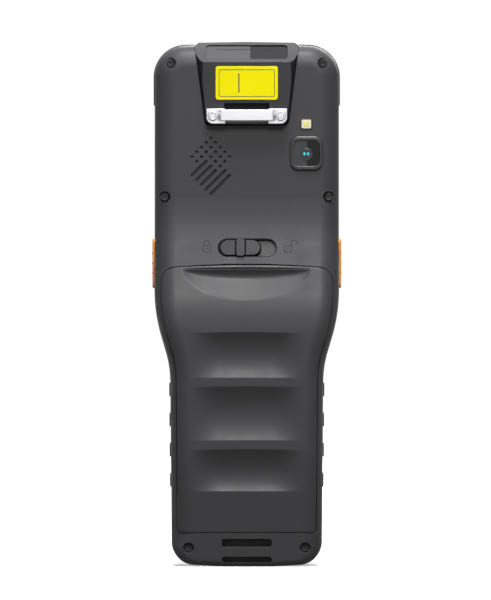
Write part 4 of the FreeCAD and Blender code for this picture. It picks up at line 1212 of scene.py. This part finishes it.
@dataclass
class Camera:
    """What shows in the camera's window, with a painted reflection on its left half and painted glints on its lens, and
    the flash beside it.
    """

    middle: Pair = (22.65, 157.1)
    level: float = -9.0
    split: float = 22.9
    ring_radius: float = 2.4
    ring_steps: tuple[Pair, ...] = ((0.28, 0.05), (0.2, 0.0))
    lens_radius: float = 1.9
    lens_steps: tuple[Pair, ...] = ((0.4, 0.02), (0.3, -0.03), (0.3, -0.02))
    glint_radius: float = 0.5
    glint_stretch: tuple[float, float, float, float] = (0.9, 1, 1.35, 1)
    # How far aside a glint is and how far it leans, in degrees
    glints: tuple[Pair, ...] = ((-0.72, -15.0), (0.7, -20.0))
    flash: Pair = (22.7, 168.6)
    flash_level: float = -8.65
    flash_size: Pair = (4.5, 4.2)
    flash_corner: float = 0.9
    flash_line: float = 0.42
    die: float = 1.8

    def glint(self, aside: float, turn: float) -> Piece:
        """Makes one oval painted glint on the lens.

        Args:
            aside: How far from the lens's middle.
            turn: How far it leans, in degrees.

        Returns:
            The glint.
        """
        glint = stepped_disc("glint", (0, 0, 0), self.glint_radius, 0.08, 0.03, [(0.1, -0.01)])
        place = Vector((self.middle[0] + aside, self.level - 0.2, self.middle[1])) * MM
        glint.data.transform(Matrix.Translation(place) @ Matrix.Rotation(math.radians(turn), 4, "Y")
                             @ Matrix.Diagonal(self.glint_stretch))
        return glint

    def build(self) -> None:
        """Makes the window with its painted reflection, the lens with its ring and painted glints, and the flash."""
        across, up = self.middle
        window = split_copy("camera_window", "camera_window_panes", self.split)
        hand_over(window, COVER_GLASS, "case", ["camera_window"])
        # The window's left half gets a painted reflection
        second_finish(window, REFLECTION_PAINTED_COVER_GLASS, lambda face: face.center.x < self.split * MM)
        ring = stepped_disc("camera_lens_ring", (across, self.level - 0.03, up), self.ring_radius, 0.14, 0.05,
                            self.ring_steps)
        hand_over(smooth(ring), BEZEL_PLASTIC, "case")
        lens = stepped_disc("camera_lens", (across, self.level - 0.06, up), self.lens_radius, 0.18, 0.06,
                            self.lens_steps)
        hand_over(smooth(lens), LENS_GLASS, "case")
        glints = joined("camera_lens_glints", [self.glint(aside, turn) for aside, turn in self.glints])
        hand_over(smooth(glints), PAINTED_LENS_GLINT, "case")
        rim = thin_frame("flash_frame", self.flash, self.flash_size, self.flash_corner, self.flash_line,
                         (self.flash_level - 0.06, self.flash_level + 0.3))
        hand_over(smooth(bevel(rim, 0.06, 2)), BLACK_PLASTIC, "case")
        die = make_slab("flash_die", self.flash, (self.die, self.die),
                        (self.flash_level - 0.08, self.flash_level + 0.05))
        hand_over(smooth(bevel(die, 0.06, 3)), FLASH_DIE, "case")


@dataclass
class Grille:
    """The cloth that is glued behind the grille, just under the holes."""

    forward: float = 1.35

    def build(self) -> None:
        """Copies the outline of the mesh node nearer to the surface."""
        cloth = merged_copy("speaker_mesh", "grille_cloth")
        cloth.data.transform(Matrix.Translation((0, -self.forward * MM, 0)))
        hand_over(cloth, WOVEN_MESH, "case")


@dataclass
class LatchTrim:
    """The painted shadow round the slider and beside its rib, the painted shade lining its recess and the two stamped
    padlocks beside it.
    """

    place: float = 121.4
    recess_middle: float = 0.2
    recess_size: Pair = (22.5, 7.3)
    recess_line: float = 0.34
    slider: Pair = (-10.1, 5.1)
    slider_width: float = 5.7
    skirt: float = 0.45
    shadow_ring_under: float = 0.15
    depth: float = 1.1
    rib: Pair = (-4.0, -0.8)
    gap: float = 0.5
    locks: Pair = (-15.3, 15.7)
    line: float = 0.24
    line_levels: Pair = (-0.03, 0.05)
    lock_middle: float = -0.4
    lock_size: Pair = (3.1, 2.6)
    lock_corner: float = 0.35
    keyhole: float = 0.28
    shackle_radius: float = 1.1
    shackle_up: float = 1.8
    shackle_aside: float = 2.5
    closed_foot: float = 0.9
    open_foot: float = 1.4

    def on_slope(self, piece: Piece, form: CaseForm) -> Piece:
        """Moves a piece made flat at the origin onto the sloping rear surface.

        Args:
            piece: The piece.
            form: The case's form.

        Returns:
            The same piece.
        """
        rise = form.rear(0.0, self.place + 1.0) - form.rear(0.0, self.place - 1.0)
        piece.data.transform(Matrix.Translation(Vector((0, form.rear(0.0, self.place), self.place)) * MM)
                             @ Matrix.Rotation(-math.atan2(rise, 2.0), 4, "X"))
        return piece

    def padlock(self, across: float, is_open: bool) -> Piece:
        """Makes the outline of a padlock.

        Args:
            across: Its middle.
            is_open: Whether its shackle is lifted aside.

        Returns:
            The outline, flat at the origin's level.
        """
        body = thin_frame("body", (across, self.lock_middle), self.lock_size, self.lock_corner, self.line,
                          self.line_levels)
        dot = make_disc("dot", (across, 0.0, self.lock_middle + 0.2), self.keyhole, 0.06, sides=16)
        middle = across + (self.shackle_aside if is_open else 0.0)
        parts = [body, dot, half_ring((middle, 0.0, self.shackle_up), self.shackle_radius, self.line, 0.25, False)]
        for side in Side:
            foot = self.open_foot if is_open and side is Side.RIGHT else self.closed_foot
            top = self.shackle_up + 0.02
            parts.append(make_slab("leg", (middle + side.value * self.shackle_radius, (foot + top) / 2),
                                   (self.line, top - foot), (self.line_levels[0], self.line_levels[1])))
        return joined("padlock_line", parts)

    def build(self, form: CaseForm) -> None:
        """Makes the trim and hands it over.

        Args:
            form: The case's form.
        """
        middle = sum(self.slider) / 2
        # A painted shadow ring round the slider, in its gap to the recess
        size = (self.slider[1] - self.slider[0] + 2 * self.skirt, self.slider_width + 2 * self.skirt)
        parts = [thin_frame("skirt", (middle, 0.0), size, size[1], self.skirt + self.shadow_ring_under, (-0.05, self.depth))]
        # Painted shadow in the gaps on either side of the slider's rib
        for edge, side in zip(self.rib, Side):
            parts.append(make_slab("gap", (edge + side.value * self.gap / 2, 0.0),
                                   (self.gap, self.slider_width - 0.2), (-0.4, -0.3)))
        skirt = self.on_slope(joined("latch_slider_skirt", parts), form)
        hand_over(smooth(skirt), GAP_SHADOW_PAINT, "latch")
        # Painted shade along the wall of the slider's recess
        ring = thin_frame("latch_recess_lining", (self.recess_middle, 0.0), self.recess_size, self.recess_size[1],
                          self.recess_line, (0.03, self.depth))
        hand_over(smooth(self.on_slope(ring, form)), PAINTED_SHADE_PLASTIC, "case")
        locks = [self.padlock(self.locks[0], False), self.padlock(self.locks[1], True)]
        hand_over(smooth(self.on_slope(joined("padlock_lines", locks), form)), LINE_PLASTIC, "case")


def flat_text(name: str, words: str, size: float, middle: Sequence[float], thick: float) -> Piece:
    """A digit as a thin solid that faces +Y, read from in front.

    Args:
        name: Name of the piece.
        words: What it says.
        size: Height of its line in millimetres.
        middle: Its middle, in millimetres, on the surface that carries it.
        thick: How thick the print is.

    Returns:
        The mesh object.
    """
    deselect()
    bpy.ops.object.text_add(location=(0, 0, 0))
    text = bpy.context.object
    text.data.body, text.data.size = words, size * MM
    text.data.align_x, text.data.align_y = "CENTER", "CENTER"
    text.data.extrude = thick / 2 * MM
    bpy.ops.object.convert(target="MESH")
    piece = bpy.context.object
    piece.name = piece.data.name = name
    facing = Matrix(((-1, 0, 0, 0), (0, 0, 1, 0), (0, 1, 0, 0), (0, 0, 0, 1)))
    piece.data.transform(Matrix.Translation(Vector(middle) * MM) @ facing)
    return piece


# Bars of each plain symbol, in millimetres: middle across and up, length, thickness and turn in degrees
SYMBOLS: dict[str, tuple[tuple[float, float, float, float, float], ...]] = {
    "escape": ((0, 0, 3.4, 0.5, 45), (0, 0, 3.4, 0.5, -45)),
    "back": ((0.3, 0, 3.4, 0.5, 0), (-1.0, 0.55, 1.6, 0.5, 45), (-1.0, -0.55, 1.6, 0.5, -45)),
    "menu": tuple((0, rise, 3.2, 0.5, 0) for rise in (1.1, 0, -1.1)),
    "enter": ((0.2, -0.5, 3.0, 0.5, 0), (1.5, 0.3, 1.9, 0.5, 90), (-1.0, 0, 1.5, 0.5, 45), (-1.0, -1.0, 1.5, 0.5, -45)),
    "up": ((-0.75, 0, 2.3, 0.55, 45), (0.75, 0, 2.3, 0.55, -45)),
    "down": ((-0.75, 0, 2.3, 0.55, -45), (0.75, 0, 2.3, 0.55, 45)),
    "shift": ((-0.8, 0.6, 2.4, 0.5, 45), (0.8, 0.6, 2.4, 0.5, -45), (0, -0.7, 2.6, 0.6, 90)),
    "scan": tuple((place, 0, 4.6, thick, 90) for place, thick in (
        (-3.6, 0.5), (-2.5, 1.0), (-1.1, 0.5), (0.0, 0.9), (1.3, 0.5), (2.3, 0.5), (3.5, 1.0))),
    "point": ((0, 0, 0.9, 0.9, 0),),
    "hash": ((-0.5, 0, 2.8, 0.4, 80), (0.5, 0, 2.8, 0.4, 80), (0, 0.55, 2.6, 0.4, 0), (0, -0.55, 2.6, 0.4, 0)),
    "power": ((0, 0.9, 1.9, 0.5, 90),),
}
# The nodes are named from the rear, so these keys carry each other's sign, to read rightly from in front
SWAPPED_SIGNS: dict[str, str] = {"1": "3", "3": "1", "4": "6", "6": "4", "7": "9", "9": "7",
                                 "point": "hash", "hash": "point"}


@dataclass
class Keypad:
    """Silicone front keys with dished tops, printed digits and plain symbols."""

    top: float = 17.5
    back: float = 14.0
    pitch_across: float = 13.2
    pitch_up: float = 11.4
    first_row: float = 61.5
    key_size: Pair = (11.0, 8.0)
    corner_size: Pair = (13.0, 7.0)
    corner_across: float = 19.2
    corner_up: float = 4.5
    scan_size: Pair = (20.0, 14.0)
    scan_place: float = 79.5
    corner: float = 1.5
    edge: float = 0.5
    # Width of each inset in the top and how far it sinks
    dish: tuple[Pair, ...] = ((0.45, -0.12), (0.35, -0.1))
    digit: float = 5.2
    ink: float = 0.06
    ring: float = 1.5
    ring_line: float = 0.48
    rows: tuple[tuple[str, ...], ...] = (
        ("1", "2", "3", "power"), ("4", "5", "6", "up"), ("7", "8", "9", "down"), ("point", "0", "hash", "shift"))

    def layout(self) -> list[tuple[str, float, float, Pair]]:
        """Name, middle and size of every key."""
        keys = [("scan", 0.0, self.scan_place, self.scan_size)]
        for rise, names in ((self.corner_up, ("escape", "back")), (-self.corner_up, ("menu", "enter"))):
            for side, name in zip(Side, names):
                keys.append((name, side.value * self.corner_across, self.scan_place + rise, self.corner_size))
        for row, names in enumerate(self.rows):
            for column, name in enumerate(names):
                across = (column - (len(names) - 1) / 2) * self.pitch_across
                keys.append((name, across, self.first_row - row * self.pitch_up, self.key_size))
        return keys

    def key(self, name: str, middle: Pair, size: Pair) -> Piece:
        """Makes one key: a rounded block whose top is dished.

        Args:
            name: Name of the piece.
            middle: Its middle, across and up.
            size: Its width and height.

        Returns:
            The key.
        """
        key = make_slab(name, middle, size, (self.back, self.top))
        round_edges(key, along(1), self.corner, 6)
        round_edges(key, beyond(1, self.top), self.edge, 4)
        step_faces(key, lambda face: face.normal.y > 0.99, self.dish)
        return smooth(key)

    def legend(self, sign: str, across: float, up: float) -> Piece:
        """Makes the print on one key.

        Args:
            sign: A digit or the name of a symbol.
            across: The key's middle.
            up: How high that is.

        Returns:
            The print.
        """
        level = self.top + sum(sink for _, sink in self.dish)
        if sign.isdigit():
            return flat_text("legend_" + sign, sign, self.digit, (across, level, up), self.ink)
        parts = []
        for side, rise, length, thick, turn in SYMBOLS[sign]:
            bar = make_slab("bar", (0, 0), (length, thick), (-self.ink / 2, self.ink / 2))
            place = Vector((across - side, level, up + rise)) * MM
            bar.data.transform(Matrix.Translation(place) @ Matrix.Rotation(math.radians(turn), 4, "Y"))
            parts.append(bar)
        if sign == "power":
            parts.append(half_ring((across, level, up - 0.1), self.ring, self.ring_line, 0.15, True))
        return joined("legend_" + sign, parts)

    def build(self) -> None:
        """Makes every key and its print."""
        for name, across, up, size in self.layout():
            finish, slot = ((ORANGE_RUBBER, "scan_key_rubber") if name == "scan" else (KEY_RUBBER, "key_rubber"))
            body = "key_" + name
            hand_over(self.key(body + "_cap", (across, up), size), finish, body, [body])
            hand_over(self.legend(SWAPPED_SIGNS.get(name, name), across, up), WHITE_INK, body)


@dataclass
class LabelPrint:
    """The thin printed frame and divider on the bare yellow plate."""

    middle: Pair = (0.0, 184.1)
    level: float = -11.76
    depth: float = 0.04
    size: Pair = (21.3, 10.4)
    line: float = 0.24
    corner: float = 0.6
    divider: Pair = (-3.0, 184.1)
    divider_size: Pair = (0.42, 7.4)

    def build(self) -> None:
        """Makes the frame and the divider."""
        levels = (self.level - self.depth / 2, self.level + self.depth / 2)
        ring = thin_frame("label_frame", self.middle, self.size, self.corner, self.line, levels)
        divider = bevel(make_slab("divider", self.divider, self.divider_size, levels), 0.01, 2)
        hand_over(joined("label_frame", [ring, divider]), PRINT_INK, "case")


@dataclass
class CarriedNodes:
    """The CAD nodes that keep their own shape and get a finish."""

    finishes: dict[str, Finish]

    def dress(self) -> None:
        """Puts each node's finish in its material slots."""
        for name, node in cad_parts.items():
            for slot in node.material_slots:
                slot.material = self.finishes.get(name, KEY_RUBBER).build()
            LOG.info("%s dressed", name)


@dataclass(frozen=True)
class Lamp:
    """A square soft lamp, in metres and watts."""

    name: str
    place: Point
    size: float
    power: float


@dataclass
class Studio:
    """A pale floor, soft lamps and the camera at the photograph's angle."""

    scale_mm: float = 0.3805
    middle_x: float = 246.78
    bottom_y: float = 566.8
    width: int = 491
    height: int = 600
    distance: float = 2.6
    rear: float = 0.012
    sensor: float = 36.0
    target: Point = (0.0, 0.0, 0.1)
    lamps: tuple[Lamp, ...] = (Lamp("front_lamp", (0.2, -1.8, 1.5), 0.6, 30.0),
                               Lamp("top_lamp", (0.0, -0.5, 1.9), 0.7, 42.0),
                               Lamp("back_lamp", (0.3, 1.4, 0.9), 1.0, 16.0))
    world_light: float = 0.11
    flag_reach: Pair = (0.3, 0.75)
    flag_light: float = 0.12
    floor_size: float = 12.0
    fade_reach: Pair = (0.15, 0.9)
    fade_light: Pair = (0.45, 1.0)

    def build(self) -> None:
        """Makes the camera, lamps, world and floor."""
        self.add_camera()
        self.add_world()
        self.add_floor()
        for lamp in self.lamps:
            self.add_lamp(lamp)
        bpy.context.scene.view_settings.view_transform = "Standard"

    def add_camera(self) -> None:
        """A long lens straight at the rear, framed as the photograph is."""
        camera = bpy.data.cameras.new("camera")
        camera.sensor_width = self.sensor
        camera.sensor_fit = "AUTO"
        camera.lens = self.sensor * (self.distance - self.rear) / (self.height * self.scale_mm * MM)
        camera.clip_end = 50.0
        holder = bpy.data.objects.new("camera", camera)
        bpy.context.scene.collection.objects.link(holder)
        holder.location = ((self.width / 2 - self.middle_x) * self.scale_mm * MM, -self.distance,
                           (self.bottom_y - self.height / 2) * self.scale_mm * MM)
        holder.rotation_euler = (math.pi / 2, 0.0, 0.0)
        bpy.context.scene.camera = holder

    def by_ray(self, tree: Tree, plain: bpy.types.Node, in_gloss: bpy.types.Node,
               seen: bpy.types.Node) -> Socket:
        """Picks a shader by the kind of ray.

        Args:
            tree: The node tree.
            plain: What lights the object.
            in_gloss: What shows in its gloss.
            seen: What shows directly or through glass.

        Returns:
            The mixed shader.
        """
        path = add_node(tree, "ShaderNodeLightPath").outputs
        mix = add_node(tree, "ShaderNodeMixShader",
                       {0: path["Is Glossy Ray"], 1: plain.outputs[0], 2: in_gloss.outputs[0]})
        direct = add_node(tree, "ShaderNodeMath", {0: path["Is Camera Ray"], 1: path["Is Transmission Ray"]},
                          operation="MAXIMUM")
        return add_node(tree, "ShaderNodeMixShader",
                        {0: direct.outputs[0], 1: mix.outputs[0], 2: seen.outputs[0]}).outputs[0]

    def add_world(self) -> None:
        """White where it is seen, dim as a light, and with dark flags at both sides where it is mirrored."""
        world = bpy.data.worlds.new("studio")
        bpy.context.scene.world = world
        world.use_nodes = True
        tree = world.node_tree
        tree.nodes.clear()
        away = add_node(tree, "ShaderNodeSeparateXYZ", {0: add_node(tree, "ShaderNodeTexCoord").outputs["Generated"]})
        aside = add_node(tree, "ShaderNodeMath", {0: away.outputs["X"]}, operation="ABSOLUTE")
        flag = add_node(tree, "ShaderNodeMapRange", {
            "Value": aside.outputs[0], "From Min": self.flag_reach[0], "From Max": self.flag_reach[1],
            "To Min": 1.0, "To Max": self.flag_light})
        light, in_gloss, white = (
            add_node(tree, "ShaderNodeBackground", {"Color": WHITE, "Strength": strength})
            for strength in (self.world_light, flag.outputs["Result"], 1.0))
        add_node(tree, "ShaderNodeOutputWorld", {"Surface": self.by_ray(tree, light, in_gloss, white)})

    def add_floor(self) -> None:
        """A pale floor that fades into the white background, keeps the shadow and throws little light back."""
        deselect()
        bpy.ops.mesh.primitive_plane_add(size=self.floor_size, location=(0, 0, 0))
        floor = bpy.context.object
        floor.name = "floor"
        material, tree = new_material("pale_floor")
        pale = add_node(tree, "ShaderNodeBsdfDiffuse", {"Color": linear("f2f2f2")})
        bounce = add_node(tree, "ShaderNodeBsdfDiffuse", {"Color": linear("2c2c2c")})
        place = add_node(tree, "ShaderNodeTexCoord").outputs["Object"]
        away = add_node(tree, "ShaderNodeVectorMath", {0: place}, operation="LENGTH")
        rise = add_node(tree, "ShaderNodeMapRange", {
            "Value": away.outputs["Value"], "From Min": self.fade_reach[0], "From Max": self.fade_reach[1],
            "To Min": self.fade_light[0], "To Max": self.fade_light[1]})
        glow = add_node(tree, "ShaderNodeEmission", {"Color": WHITE, "Strength": rise.outputs["Result"]})
        bright = add_node(tree, "ShaderNodeAddShader", {0: pale.outputs[0], 1: glow.outputs[0]})
        add_node(tree, "ShaderNodeOutputMaterial", {"Surface": self.by_ray(tree, bounce, glow, bright)})
        floor.data.materials.append(material)

    def add_lamp(self, lamp: Lamp) -> None:
        """Adds a lamp aimed at the object.

        Args:
            lamp: Its name, place, size and power.
        """
        light = bpy.data.lights.new(lamp.name, "AREA")
        light.shape, light.size, light.energy = "SQUARE", lamp.size, lamp.power
        holder = bpy.data.objects.new(lamp.name, light)
        bpy.context.scene.collection.objects.link(holder)
        holder.location = lamp.place
        aim = Vector(self.target) - Vector(lamp.place)
        holder.rotation_euler = aim.to_track_quat("-Z", "Y").to_euler()


def main() -> None:
    """Builds every piece and the studio."""
    logging.basicConfig(level=logging.INFO, format="%(message)s")
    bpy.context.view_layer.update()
    Studio().build()
    CarriedNodes(NODE_FINISHES).dress()
    form = CaseForm()
    BatteryCover(form).build()
    SideKeys().build()
    SoftenedNodes({
        "camera_bezel": (0.25, BEZEL_PLASTIC, "case", "cap_plastic"),
        "latch_slider": (0.2, CAP_PLASTIC, "latch", "cap_plastic"),
        "corner_bumpers": (0.3, BUMPER_RUBBER, "case", "grip_rubber"),
        "side_grip_left": (0.25, GRIP_RUBBER, "case", "grip_rubber"),
        "side_grip_right": (0.25, GRIP_RUBBER, "case", "grip_rubber"),
    }).build()
    ScanHead().build()
    StrapBracket().build()
    Camera().build()
    Grille().build()
    LatchTrim().build(form)
    CaseScrews().build()
    Keypad().build()
    LabelPrint().build()


if __name__ == "__main__":
    main()
